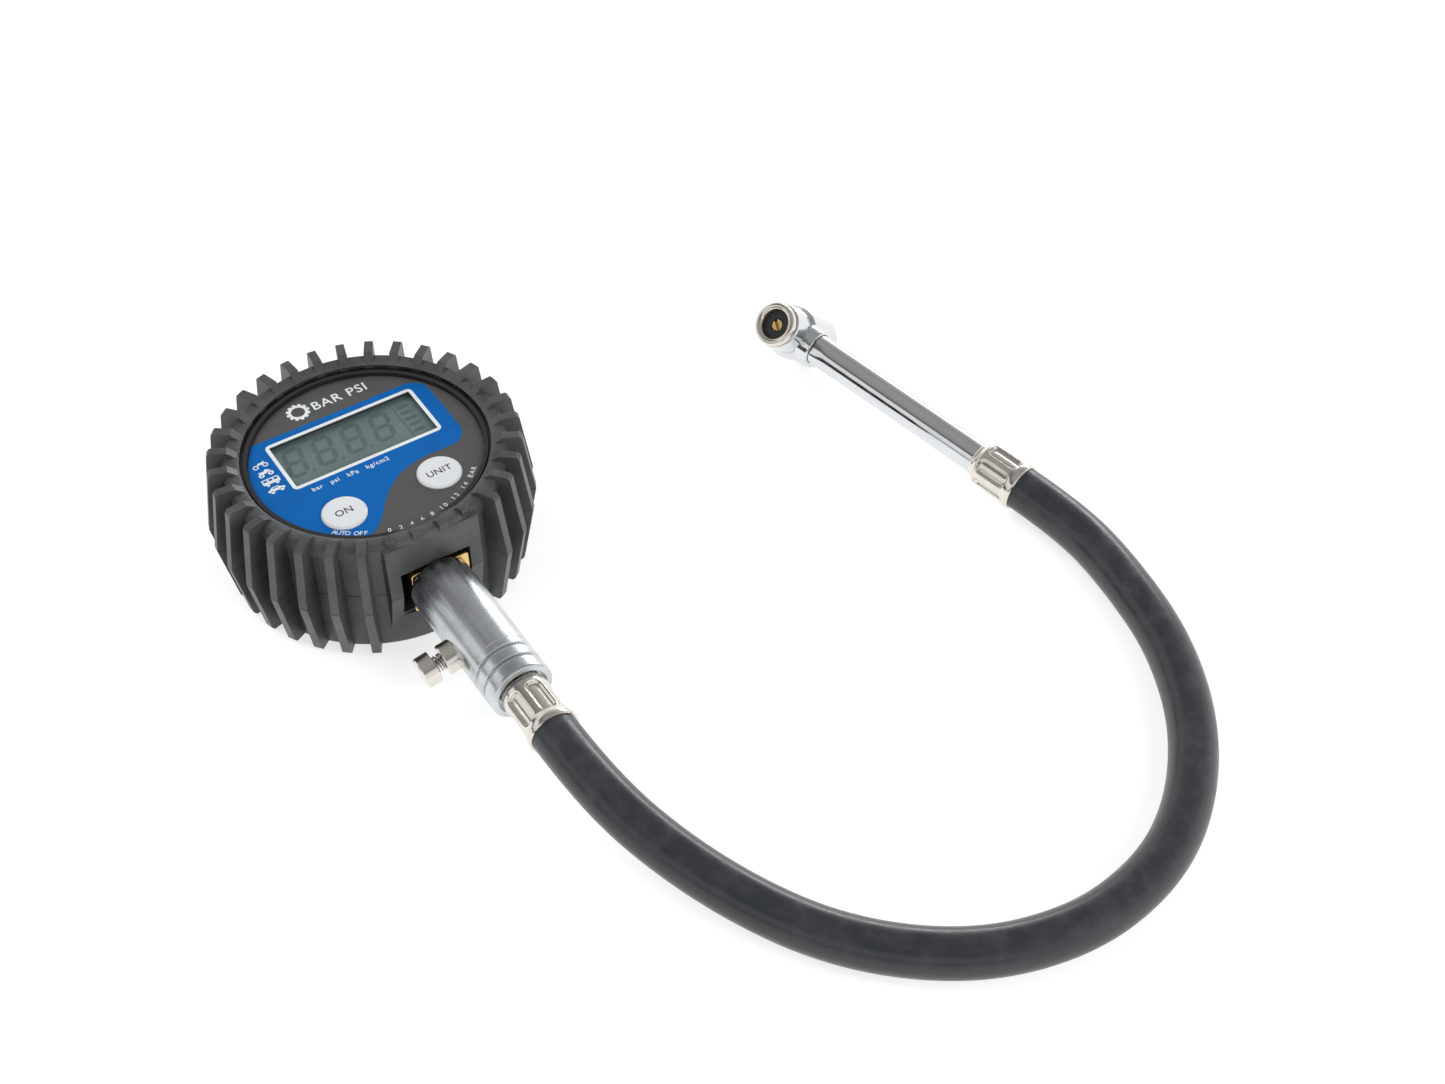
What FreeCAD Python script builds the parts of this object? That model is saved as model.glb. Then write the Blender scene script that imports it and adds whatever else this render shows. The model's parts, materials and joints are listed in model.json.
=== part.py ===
import FreeCAD, Part
import math
import os
import re
import Sketcher

# Digital tyre pressure gauge: a round gauge in a finned rubber boot, a steel stem with a bleed
# valve, a rubber hose and a two-way air chuck.  Millimetres, +Z up out of the dial.  The origin is
# the middle of the boot's back face; the stem leaves along -Y.

V = FreeCAD.Vector
Place = FreeCAD.Placement
Turn = FreeCAD.Rotation
UP = V(0, 0, 1)
RIGHT = V(1, 0, 0)

SIZES = {
    # room round loose parts, gap between parts that meet, overshoot of cutting tools, broken edges
    "loose": 0.15, "slip": 0.02, "overcut": 1.0, "edge": 0.3,
    # rubber boot, in two halves
    "boot_height": 35.5, "seam_height": 17.7, "seam_gap": 0.1, "boot_radius": 34.0,
    "boot_edge": 33.5, "boot_chamfer": 1.0, "cavity_radius": 31.15, "lip_radius": 30.0,
    "lip_under": 32.45, "lip_top": 33.3, "ring_top": 34.0, "back_wall": 2.2,
    "fin_count": 32.0, "fin_root": 31.5, "fin_crest": 33.0, "fin_shoulder": 37.3,
    "fin_bend": 40.3, "fin_foot": 36.8, "fin_width": 2.3,
    "boss_half": 12.3, "boss_face": 34.5, "boss_brow": 34.0, "boss_heel": 30.6,
    "boss_root": 28.5, "boss_top": 33.0, "notch_half": 14.2, "port_half": 9.1,
    "port_low": 10.4, "port_high": 24.4,
    # plastic case
    "case_radius": 31.0, "case_inner": 29.2, "case_low": 2.3, "case_floor": 4.3,
    "case_rim": 29.0, "deck_low": 29.05, "deck_top": 31.0, "skirt_inner": 27.6,
    "skirt_outer": 29.1, "skirt_low": 27.0, "bezel_low": 32.2, "bezel_top": 32.7,
    "bezel_inner": 28.55, "bezel_outer": 29.6, "bezel_slope": 0.2, "face_radius": 28.45,
    "face_thick": 0.5, "post_radius": 2.4, "post_top": 19.5, "post_ring": 25.5,
    "post_gap": 0.05, "screw_shank": 1.05, "screw_hole": 1.35, "screw_head": 2.3,
    "screw_head_thick": 1.6, "screw_length": 20.0, "screw_sunk": 0.1, "pilot_deep": 8.0,
    # display and board
    "display_y": 6.9, "display_long": 38.0, "display_high": 15.7, "window_long": 40.0,
    "window_high": 17.7, "window_thick": 1.0, "window_top": 30.95, "glass_thick": 2.0,
    "glass_top": 29.8, "frame_wall": 1.5, "frame_top": 28.95, "board_radius": 26.8,
    "board_low": 24.6, "board_thick": 1.6, "strip_long": 38.0, "strip_wide": 1.6,
    "strip_inset": 1.2, "chip_size": 9.0, "chip_thick": 1.2, "chip_y": 6.0,
    # buttons
    "button_radius": 5.5, "button_hole": 5.6, "button_flange": 6.2, "button_y": 15.2,
    "button_left": 13.4, "button_right": 11.9, "button_top": 32.1, "button_low": 28.0,
    "button_edge": 0.4, "flange_top": 28.95, "dome_radius": 4.6, "dome_wall": 0.8,
    "dome_slope": 1.2,
    # batteries and sensor
    "cell_radius": 5.2, "cell_long": 44.4, "cell_height": 10.4, "cell_front": -3.0,
    "cell_back": 8.0, "nub_radius": 1.8, "nub_long": 0.8, "tray_half": 24.4,
    "tray_front": -9.4, "tray_back": 14.4, "tray_top": 17.0, "tray_wall": 1.0,
    "contact_size": 9.0, "contact_thick": 0.3, "door_long": 44.8, "door_wide": 20.6,
    "door_gap": 0.2, "door_thick": 1.7, "door_screw_long": 2.6, "door_head_thick": 0.8,
    "sensor_radius": 5.0, "sensor_long": 6.3,
    # brass fitting and steel stem, on an axis at the seam's height
    "block_half": 8.3, "block_high": 12.8, "block_face": 34.9, "block_back": 27.4,
    "flange_half": 9.8, "flange_high": 13.4, "flange_thick": 2.0, "shank_radius": 6.0,
    "shank_end": 16.0, "spigot_radius": 5.0, "spigot_end": 44.0, "air_radius": 1.5,
    "stem_radius": 7.9, "stem_start": 35.2, "stem_end": 76.8, "stem_bore": 2.2,
    "stem_chamfer": 0.7, "groove_wide": 0.5, "groove_deep": 0.35, "groove_first": 63.6,
    "groove_step": 3.8, "groove_count": 3.0, "thread_radius": 4.3, "thread_start": 66.0,
    "recess_radius": 6.2, "recess_start": 74.3,
    # bleed valve, on the stem's side
    "bleed_y": 55.6, "bleed_tilt": 11.5, "bleed_seat": 7.0, "bleed_face": 10.55,
    "bleed_collar": 3.85, "bleed_thread": 2.6, "bleed_root": 4.6, "bleed_top": 5.9,
    "bleed_bore": 1.1, "bleed_pin": 1.04, "cap_radius": 3.9, "cap_low": 12.8,
    "cap_top": 16.4, "poppet_radius": 1.7, "poppet_low": 4.0, "poppet_top": 4.9,
    "poppet_chamber": 2.1, "bleed_seal_radius": 1.9, "bleed_coil": 1.95, "bleed_turns": 3.0,
    "coil_wire": 0.4,
    # ferrules and barbs
    "ferrule_long": 15.5, "ferrule_tail": 5.5, "ferrule_radius": 5.85, "ferrule_mouth": 6.35,
    "ferrule_lip": 1.2, "lip_slope": 0.8, "flare_start": 4.0, "flare_end": 2.0,
    "tail_bore": 3.6, "crimp_bore": 4.9, "dimple_count": 6.0, "dimple_floor": 5.35,
    "dimple_long": 8.0, "dimple_half": 1.7, "dimple_middle": 6.6, "barb_radius": 3.0,
    "barb_root": 2.7, "barb_start": 2.2, "barb_stop": 14.2, "barb_count": 4.0,
    "barb_thread_end": 22.5,
    # hose
    "hose_radius": 5.75, "hose_bore": 3.0, "insert_long": 13.5,
    # chuck, along the hose's last run
    "tube_radius": 4.2, "tube_bore": 1.8, "tube_step": 21.5, "head_distance": 77.7,
    "tube_stop": 3.4, "head_roll": 44.7, "head_lean": 4.7, "boss_reach": 8.8,
    "boss_radius": 5.1, "front_rim": 11.2, "cap_long": 3.0, "cap_deep": 6.2,
    "cap_outer": 5.7, "cap_thread": 4.95, "cap_chamfer": 0.5, "mouth_radius": 4.1,
    "mouth_deep": 2.0, "mouth_chamfer": 0.4, "seal_radius": 4.25, "seal_cavity": 4.3,
    "seal_hole": 1.72, "seal_chamber": 3.0, "seal_step": 3.8, "seal_dish": 0.1,
    "pin_radius": 1.65, "pin_flange": 2.85, "pin_flange_thick": 0.9, "pin_stem": 1.2,
    "pin_guide": 1.27, "pin_drop": 2.0, "pin_long": 9.6, "slot_wide": 0.9, "slot_deep": 0.8,
    "chamber_floor": 8.8, "pin_coil": 2.0, "pin_turns": 5.0, "nose_radius": 6.7,
    "collar_radius": 7.3, "collar_top": 1.0, "collar_low": -1.8, "collar_edge": 0.4,
    "barrel_radius": 7.1, "barrel_end": -13.0, "rear_rim": 14.3,
}

# Middle line of the hose, as the corners that its tangent arcs round off.  It leaves the gauge
# along -Y at the stem's height and comes down to the surface that the gauge lies on.
HOSE_ROUTE = [
    (0.0, -90.0, 17.7), (0.0, -105.0, 17.7), (4.0, -123.5, 14.3), (13.0, -143.0, 9.3),
    (24.5, -161.0, 6.4), (39.5, -176.0, 5.8), (57.5, -186.2, 5.8), (80.0, -189.8, 5.8),
    (105.0, -183.2, 5.8), (127.0, -164.0, 5.8), (141.0, -138.6, 5.8), (146.4, -112.0, 5.8),
    (147.3, -92.2, 5.8), (143.4, -77.3, 7.2),
]
ARC_SHARE = 0.45
POST_ANGLES = (60.0, 120.0, 210.0, 330.0)
FULL_TURN = 360.0
CUT_AT_LEAST = 0.01

doc = FreeCAD.newDocument("tyre_pressure_gauge")
sheet = doc.addObject("Spreadsheet::Sheet", "dims")
for row, (word, number) in enumerate(SIZES.items(), 1):
    sheet.set(f"A{row}", word)
    sheet.set(f"B{row}", str(number))
    sheet.setAlias(f"B{row}", word)
doc.recompute()
PARTS = []


# ---------------------------------------------------------------- helpers

def size(word):
    """The number in the sheet's cell."""
    return float(sheet.get(word))


def cells(text):
    """An expression written with the sheet's words, ready for setExpression."""
    return re.sub(r"[a-z][a-z_]*", lambda found: "dims." + found.group(0), str(text))


def bind(feature, **sizes):
    for name, text in sizes.items():
        feature.setExpression(name, cells(text))


def at(x, y, z, turn=Turn()):
    return Place(V(x, y, z), turn)


def outline(body, role, points, turn=0.0):
    """A closed straight-sided sketch on a plane of the body, each corner bound to the sheet.
    turn swings the plane about the body's own upright axis."""
    sketch = body.newObject("Sketcher::SketchObject", body.Name + "_outline")
    plane = next(f for f in body.Origin.OriginFeatures if f.Role == role)
    sketch.AttachmentSupport = [(plane, "")]
    sketch.MapMode = "FlatFace"
    sketch.AttachmentOffset = at(0, 0, 0, Turn(V(0, 1, 0), turn))
    count = len(points)
    for i in range(count):
        sketch.addGeometry(Part.LineSegment(V(i, 0, 0), V(i + 1, 1, 0)))
    for i in range(count):
        sketch.addConstraint(Sketcher.Constraint("Coincident", i, 2, (i + 1) % count, 1))
    for i, corner in enumerate(points):
        for kind, text in zip(("DistanceX", "DistanceY"), corner):
            number = sketch.addConstraint(Sketcher.Constraint(kind, -1, 1, i, 1, 1.0))
            name = f"{kind}{i}"
            sketch.renameConstraint(number, name)
            sketch.setExpression("Constraints." + name, cells(text))
    doc.recompute()
    return sketch


def new_body(label):
    body = doc.addObject("PartDesign::Body", label)
    body.Label = label
    return body


def turned(label, points):
    """A body made by turning an outline of (radius, height) corners about the upright axis."""
    body = new_body(label)
    feature = body.newObject("PartDesign::Revolution", label + "_turn")
    feature.Profile = outline(body, "XZ_Plane", points)
    feature.ReferenceAxis = (feature.Profile[0], ["V_Axis"])
    feature.Angle = FULL_TURN
    doc.recompute()
    return body


def ring(label, inner, outer, low, high):
    return turned(label, [(inner, low), (outer, low), (outer, high), (inner, high)])


def must_cut(body, before, label):
    if body.Shape.Volume > before - CUT_AT_LEAST:
        raise RuntimeError(label + " removed nothing")


def groove(body, points):
    before = body.Shape.Volume
    feature = body.newObject("PartDesign::Groove", body.Name + "_groove")
    feature.Profile = outline(body, "XZ_Plane", points)
    feature.ReferenceAxis = (feature.Profile[0], ["V_Axis"])
    feature.Angle = FULL_TURN
    doc.recompute()
    must_cut(body, before, feature.Name)
    return feature


def pad(body, role, points, length, turn=0.0):
    feature = body.newObject("PartDesign::Pad", body.Name + "_pad")
    feature.Profile = outline(body, role, points, turn)
    feature.Midplane = True
    bind(feature, Length=length)
    doc.recompute()
    return feature


def pocket(body, role, points, length, midplane=True, reverse=False):
    before = body.Shape.Volume
    feature = body.newObject("PartDesign::Pocket", body.Name + "_pocket")
    feature.Profile = outline(body, role, points)
    feature.Midplane = midplane
    feature.Reversed = reverse
    bind(feature, Length=length)
    doc.recompute()
    must_cut(body, before, feature.Name)
    return feature


def polar(body, feature, count):
    pattern = body.newObject("PartDesign::PolarPattern", feature.Name + "_round")
    pattern.Originals = [feature]
    axis = next(f for f in body.Origin.OriginFeatures if f.Role == "Z_Axis")
    pattern.Axis = (axis, [""])
    pattern.Angle = FULL_TURN
    bind(pattern, Occurrences=count)
    body.Tip = pattern
    doc.recompute()
    return pattern


def rod(name, radius, height, place=Place()):
    """A cylinder along its own +Z."""
    feature = doc.addObject("Part::Cylinder", name)
    bind(feature, Radius=radius, Height=height)
    feature.Placement = place
    return feature


def block(name, length, width, height, place=Place()):
    """A box whose base is centred on its own origin."""
    feature = doc.addObject("Part::Box", name)
    bind(feature, Length=length, Width=width, Height=height)
    doc.recompute()
    feature.Placement = place.multiply(at(-feature.Length.Value / 2, -feature.Width.Value / 2, 0))
    return feature


def cut(label, base, *tools):
    tool = tools[0]
    if len(tools) > 1:
        tool = doc.addObject("Part::MultiFuse", label + "_tools")
        tool.Shapes = list(tools)
    feature = doc.addObject("Part::Cut", label)
    feature.Base = base
    feature.Tool = tool
    feature.Label = label
    doc.recompute()
    must_cut(feature, base.Shape.Volume, label)
    return feature


def fuse(label, *shapes):
    feature = doc.addObject("Part::MultiFuse", label)
    feature.Shapes = list(shapes)
    feature.Label = label
    doc.recompute()
    return feature


def group(label, shapes):
    """Separate solids of one kind that share a node."""
    feature = doc.addObject("Part::Compound", label)
    feature.Links = list(shapes)
    feature.Label = label
    doc.recompute()
    return feature


def keep(feature, label=None, place=None):
    """Marks a finished sub-part, names it and puts it in its place."""
    if label:
        feature.Label = label
    if place:
        feature.Placement = place
    PARTS.append(feature)
    return feature


def spring(label, radius, wire, length, turns, place):
    """A coil of round wire standing on its own +Z, its ends flush with 0 and length."""
    rise = length - wire
    path = Part.makeLongHelix(rise / turns, rise, radius, 0)
    start = Part.Circle(V(radius, 0, 0), V(0, 1, 0), wire / 2).toShape()
    feature = doc.addObject("Part::Feature", label)
    feature.Shape = Part.Wire(path.Edges).makePipeShell([Part.Wire(start)], True, True)
    return keep(feature, label, place.multiply(at(0, 0, wire / 2)))


# ---------------------------------------------------------------- places

SEAM = size("seam_height")
TRAY_MIDDLE = (size("tray_front") + size("tray_back")) / 2
BUTTON_PLACES = [at(x, -size("button_y"), 0) for x in (-size("button_left"), size("button_right"))]
# stem frame: own +Z runs out along -Y, own +Y stays up
STEM = at(0, 0, SEAM, Turn(RIGHT, UP, V(0, -1, 0), "ZXY"))
# bleed frame: own +Z leaves the stem's side, a little below level
tilt = math.radians(size("bleed_tilt"))
BLEED = at(0, -size("bleed_y"), SEAM, Turn(UP, V(-math.cos(tilt), 0, -math.sin(tilt))))
# ferrule at the gauge: own +Z runs from the stem to the hose
FERRULE_A = Place(V(*HOSE_ROUTE[0]) - V(0, -size("ferrule_long"), 0), STEM.Rotation)
# chuck frame: at the hose's last point, own +Z runs on along the hose to the head
run_end = V(*HOSE_ROUTE[-1])
run_way = (run_end - V(*HOSE_ROUTE[-2])).normalize()
level = UP.cross(run_way).normalize()
TUBE = Place(run_end, Turn(level, run_way.cross(level), run_way, "ZXY"))
FERRULE_B = TUBE.multiply(at(0, 0, size("ferrule_long"), Turn(RIGHT, 180)))
# head frame: own origin where the tube's and head's axes cross, own +Z out of the front mouth
rolled = Turn(run_way, -size("head_roll")).multVec(run_way.cross(level))
HEAD_SQUARE = Turn(-run_way, rolled.cross(-run_way), rolled, "ZXY")
HEAD = Place(run_end + run_way * size("head_distance"),
             HEAD_SQUARE.multiply(Turn(V(0, 1, 0), -size("head_lean"))))
HEAD_BACK = HEAD.multiply(at(0, 0, 0, Turn(RIGHT, 180)))


# ---------------------------------------------------------------- rubber boot

def boot_half(label, solid, fin, notch, boss, cavity, port):
    body = turned(label, solid)
    half_pitch = FULL_TURN / size("fin_count") / 2
    blade = pad(body, "XZ_Plane", fin, "fin_width", half_pitch)
    polar(body, blade, "fin_count")
    pocket(body, "YZ_Plane", notch, "2 * notch_half")
    pad(body, "YZ_Plane", boss, "2 * boss_half")
    groove(body, cavity)
    pocket(body, "XZ_Plane", port, "fin_bend", midplane=False, reverse=True)
    keep(body)


def boot():
    start = "seam_height + seam_gap / 2"
    below, past = "seam_height - overcut", "-fin_bend - overcut"
    boot_half(
        "boot_upper",
        solid=[(0, start), ("boot_radius", start), ("boot_radius", "boss_top"),
               ("boot_edge", "ring_top"), ("fin_root", "ring_top"), ("lip_radius", "lip_top"),
               (0, "lip_top")],
        fin=[("fin_root", start), ("fin_bend", start), ("fin_shoulder", "boot_height"),
             ("fin_crest", "boot_height"), ("fin_root", "ring_top")],
        notch=[(past, below), ("-boss_face", below), ("-boss_brow", "boss_top"),
               ("-boss_brow", "boot_height + overcut"), (past, "boot_height + overcut")],
        boss=[("-boss_root", start), ("-boss_face", start), ("-boss_brow", "boss_top"),
              ("-boss_root", "boss_top")],
        cavity=[(0, below), ("cavity_radius", below), ("cavity_radius", "lip_under"),
                ("lip_radius", "lip_under"), ("lip_radius", "boot_height + overcut"),
                (0, "boot_height + overcut")],
        port=[("-port_half", below), ("port_half", below),
              ("port_half", "port_high"), ("-port_half", "port_high")])
    stop = "seam_height - seam_gap / 2"
    above = "seam_height + overcut"
    boot_half(
        "boot_lower",
        solid=[(0, 0), ("boot_edge", 0), ("boot_radius", "boot_chamfer"), ("boot_radius", stop),
               (0, stop)],
        fin=[("fin_root", 0), ("fin_foot", 0), ("fin_bend", stop), ("fin_root", stop)],
        notch=[(past, "-overcut"), ("-boss_heel", "-overcut"), ("-boss_heel", 0),
               ("-boss_face", stop), ("-boss_face", above), (past, above)],
        boss=[("-boss_root", 0), ("-boss_heel", 0), ("-boss_face", stop), ("-boss_root", stop)],
        cavity=[(0, "back_wall"), ("cavity_radius", "back_wall"), ("cavity_radius", above),
                (0, above)],
        port=[("-port_half", "port_low"), ("port_half", "port_low"),
              ("port_half", above), ("-port_half", above)])


# ---------------------------------------------------------------- plastic case

def at_posts(height):
    """Places of the four screw posts, at a height."""
    reach = size("post_ring")
    ways = [math.radians(angle) for angle in POST_ANGLES]
    return [at(reach * math.cos(way), reach * math.sin(way), height) for way in ways]


def case_body():
    cup = turned("case_cup", [
        (0, "case_low"), ("case_radius", "case_low"), ("case_radius", "case_rim"),
        ("case_inner", "case_rim"), ("case_inner", "case_floor"), (0, "case_floor")])
    posts = [rod("case_post", "post_radius", "post_top - case_low", place)
             for place in at_posts(size("case_low"))]
    solid = fuse("case_with_posts", cup, *posts)
    under = size("case_low") - size("overcut")
    holes = [rod("case_hole", "screw_hole", "post_top", place) for place in at_posts(under)]
    sinks = [rod("case_sink", "screw_head + loose", "screw_head_thick + screw_sunk + overcut",
                 place) for place in at_posts(under)]
    door = block("case_door_hole", "door_long + 2 * door_gap", "door_wide + 2 * door_gap",
                 "case_floor", at(0, TRAY_MIDDLE, under))
    port_low = SEAM - size("block_high") / 2 - size("loose")
    port = block("case_port", "2 * block_half + 2 * loose", "case_radius - case_inner + shank_radius",
                 "block_high + 2 * loose", at(0, -size("case_radius"), port_low))
    keep(cut("case_body", solid, door, port, *holes, *sinks))


def case_front():
    cover = turned("front_cover", [
        (0, "deck_low"), ("skirt_inner", "deck_low"), ("skirt_inner", "skirt_low"),
        ("skirt_outer", "skirt_low"), ("skirt_outer", "deck_low"), ("case_radius", "deck_low"),
        ("case_radius", "bezel_low"), ("bezel_outer + bezel_slope", "bezel_low"),
        ("bezel_outer", "bezel_top"), ("bezel_inner", "bezel_top"), ("bezel_inner", "deck_top"),
        (0, "deck_top")])
    posts = [rod("front_post", "post_radius", "deck_low - post_top", place)
             for place in at_posts(size("post_top") + size("post_gap"))]
    solid = fuse("front_with_posts", cover, *posts)
    pilots = [rod("front_pilot", "screw_shank", "pilot_deep", place)
              for place in at_posts(size("post_top"))]
    under = size("deck_low") - size("overcut")
    through = "deck_top - deck_low + 2 * overcut"
    window = block("front_window", "window_long + 2 * loose", "window_high + 2 * loose", through,
                   at(0, size("display_y"), under))
    holes = [rod("front_button_hole", "button_hole", through, place.multiply(at(0, 0, under)))
             for place in BUTTON_PLACES]
    keep(cut("case_front", solid, window, *pilots, *holes))


def face_panel():
    disc = ring("face_disc", 0, "face_radius", "deck_top", "deck_top + face_thick")
    under = size("deck_top") - size("overcut")
    through = "face_thick + 2 * overcut"
    opening = block("face_window", "display_long", "display_high", through,
                    at(0, size("display_y"), under))
    holes = [rod("face_button_hole", "button_hole", through, place.multiply(at(0, 0, under)))
             for place in BUTTON_PLACES]
    keep(cut("face_panel", disc, opening, *holes))


def case_screws():
    screws = []
    for place in at_posts(size("case_low") + size("screw_sunk")):
        head = rod("screw_head_disc", "screw_head", "screw_head_thick", place)
        shank = rod("screw_shank_rod", "screw_shank", "screw_length", place)
        screws.append(fuse("case_screw", head, shank))
    keep(group("case_screws", screws))


# ---------------------------------------------------------------- display and board

def display():
    y = size("display_y")
    board_top = size("board_low") + size("board_thick")
    keep(block("lcd_window", "window_long", "window_high", "window_thick",
               at(0, y, size("window_top") - size("window_thick"))))
    keep(block("lcd_glass", "window_long", "window_high", "glass_thick",
               at(0, y, size("glass_top") - size("glass_thick"))))
    outside = block("lcd_frame_block", "window_long + 2 * frame_wall",
                    "window_high + 2 * frame_wall", "frame_top - board_low - board_thick",
                    at(0, y, board_top))
    hole = block("lcd_frame_hole", "window_long + 2 * loose", "window_high + 2 * loose",
                 "glass_top", at(0, y, board_top - size("overcut")))
    keep(cut("lcd_frame", outside, hole))
    off = size("window_high") / 2 - size("strip_inset")
    strips = [block("zebra_strip", "strip_long", "strip_wide",
                    "glass_top - glass_thick - board_low - board_thick",
                    at(0, y + side * off, board_top)) for side in (-1, 1)]
    keep(group("zebra_strips", strips))


def circuit_board():
    low = size("board_low")
    disc = rod("board_disc", "board_radius", "board_thick", at(0, 0, low))
    notches = [rod("board_notch", "post_radius + 2 * loose", "board_thick + 2 * overcut", place)
               for place in at_posts(low - size("overcut"))]
    board = cut("board_notched", disc, *notches)
    chip = block("display_chip", "chip_size", "chip_size", "chip_thick",
                 at(0, -size("chip_y"), low - size("chip_thick")))
    keep(fuse("circuit_board", board, chip))


def button(side, place):
    cap = turned(side + "_button", [
        (0, "button_low"), ("button_flange", "button_low"), ("button_flange", "flange_top"),
        ("button_radius", "flange_top"), ("button_radius", "button_top - button_edge"),
        ("button_radius - button_edge", "button_top"), (0, "button_top")])
    keep(cap, place=place)
    board_top, roof = "board_low + board_thick", "button_low - slip"
    dome = turned(side + "_dome", [
        ("dome_radius - dome_wall", board_top), ("dome_radius", board_top),
        ("dome_radius - dome_slope", roof), (0, roof), (0, roof + " - dome_wall"),
        ("dome_radius - dome_slope - dome_wall", roof + " - dome_wall")])
    keep(dome, place=place)


# ---------------------------------------------------------------- batteries and sensor

def battery_tray():
    floor = size("case_floor")
    outside = block("tray_block", "2 * tray_half", "tray_back - tray_front",
                    "tray_top - case_floor", at(0, TRAY_MIDDLE, floor))
    hollow = block("tray_hollow", "2 * tray_half - 2 * tray_wall",
                   "tray_back - tray_front - 2 * tray_wall", "tray_top - case_floor",
                   at(0, TRAY_MIDDLE, floor - size("tray_wall")))
    keep(cut("battery_tray", outside, hollow))


def battery(label, row, way):
    """A cell lying along X with its nub at the end that way points to."""
    middle = at(0, size(row), size("cell_height"), Turn(V(0, 1, 0), way * 90))
    start = -size("cell_long") / 2
    can = rod(label + "_can", "cell_radius", "cell_long", middle.multiply(at(0, 0, start)))
    nub = rod(label + "_nub", "nub_radius", "nub_long", middle.multiply(at(0, 0, -start)))
    keep(fuse(label, can, nub))


def battery_contacts():
    off = size("tray_half") - size("tray_wall") - size("contact_thick") / 2
    low = size("cell_height") - size("contact_size") / 2
    plates = [block("contact_plate", "contact_thick", "contact_size", "contact_size",
                    at(side * off, size(row), low))
              for side in (-1, 1) for row in ("cell_front", "cell_back")]
    keep(group("battery_contacts", plates))


def battery_door():
    low = at(0, TRAY_MIDDLE, size("case_low") + size("screw_sunk"))
    leaf = block("door_leaf", "door_long", "door_wide", "door_thick", low)
    hole = rod("door_screw_hole", "screw_shank + loose", "case_floor", low)
    sink = rod("door_screw_sink", "screw_head + loose", "door_head_thick + screw_sunk", low)
    keep(cut("battery_door", leaf, hole, sink))
    keep(fuse("door_screw", rod("door_screw_head", "screw_head", "door_head_thick", low),
              rod("door_screw_shank", "screw_shank", "door_screw_long", low)))


def pressure_sensor():
    keep(rod("pressure_sensor", "sensor_radius", "sensor_long",
             at(0, -size("shank_end"), SEAM, Turn(RIGHT, -90))))


# ---------------------------------------------------------------- fitting, stem, bleed valve

def along_stem(reach):
    """A place on the stem's axis, reach outwards from the gauge's middle."""
    return STEM.multiply(at(0, 0, reach))


def brass_fitting():
    solid = fuse(
        "fitting_solid",
        block("fitting_block", "2 * block_half", "block_high", "block_face - block_back",
              along_stem(size("block_back"))),
        block("fitting_flange", "2 * flange_half", "flange_high", "flange_thick",
              along_stem(size("block_back") - size("flange_thick"))),
        rod("fitting_shank", "shank_radius", "block_back - shank_end",
            along_stem(size("shank_end"))),
        rod("fitting_spigot", "spigot_radius", "spigot_end - block_back",
            along_stem(size("block_back"))))
    keep(cut("brass_fitting", solid,
             rod("fitting_bore", "air_radius", "spigot_end", along_stem(size("shank_end")))))


def stem():
    tube = turned("stem_tube", [
        ("stem_bore", "spigot_end"), ("spigot_radius", "spigot_end"),
        ("spigot_radius", "stem_start"), ("stem_radius - edge", "stem_start"),
        ("stem_radius", "stem_start + edge"), ("stem_radius", "stem_end - stem_chamfer"),
        ("stem_radius - stem_chamfer", "stem_end"), ("recess_radius", "stem_end"),
        ("recess_radius", "recess_start"), ("thread_radius", "recess_start"),
        ("thread_radius", "thread_start"), ("stem_bore", "thread_start")])
    for number in range(int(size("groove_count"))):
        start = f"groove_first + {number} * groove_step"
        stop = start + " + groove_wide"
        groove(tube, [("stem_radius - groove_deep", start), ("stem_radius + overcut", start),
                      ("stem_radius + overcut", stop), ("stem_radius - groove_deep", stop)])
    tube.Placement = STEM
    seat = BLEED.multiply(at(0, 0, size("bleed_seat")))
    root = BLEED.multiply(at(0, 0, size("bleed_root")))
    keep(cut("stem", tube,
             rod("bleed_spot", "bleed_collar + slip", "bleed_face - bleed_seat", seat),
             rod("bleed_tapped", "bleed_thread", "bleed_seat", root),
             rod("bleed_port", "poppet_chamber", "bleed_root", BLEED)))


def bleed_valve():
    keep(turned("bleed_body", [
        ("bleed_bore", "bleed_top"), ("poppet_chamber", "bleed_top"),
        ("poppet_chamber", "bleed_root"), ("bleed_thread", "bleed_root"),
        ("bleed_thread", "bleed_seat"), ("bleed_collar", "bleed_seat"),
        ("bleed_collar", "bleed_face - edge"), ("bleed_collar - edge", "bleed_face"),
        ("bleed_bore", "bleed_face")]), place=BLEED)
    keep(turned("bleed_button", [
        (0, "poppet_low"), ("poppet_radius", "poppet_low"), ("poppet_radius", "poppet_top"),
        ("bleed_pin", "poppet_top"), ("bleed_pin", "cap_low"), ("cap_radius", "cap_low"),
        ("cap_radius", "cap_top - edge"), ("cap_radius - edge", "cap_top"), (0, "cap_top")]),
        place=BLEED)
    keep(ring("bleed_seal", "bleed_pin", "bleed_seal_radius", "poppet_top + slip",
              "bleed_top - slip"), place=BLEED)
    gap = size("cap_low") - size("bleed_face")
    spring("bleed_spring", size("bleed_coil"), size("coil_wire"), gap - 2 * size("slip"),
           size("bleed_turns"), BLEED.multiply(at(0, 0, size("bleed_face") + size("slip"))))


# ---------------------------------------------------------------- ferrules, barb and hose

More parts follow.
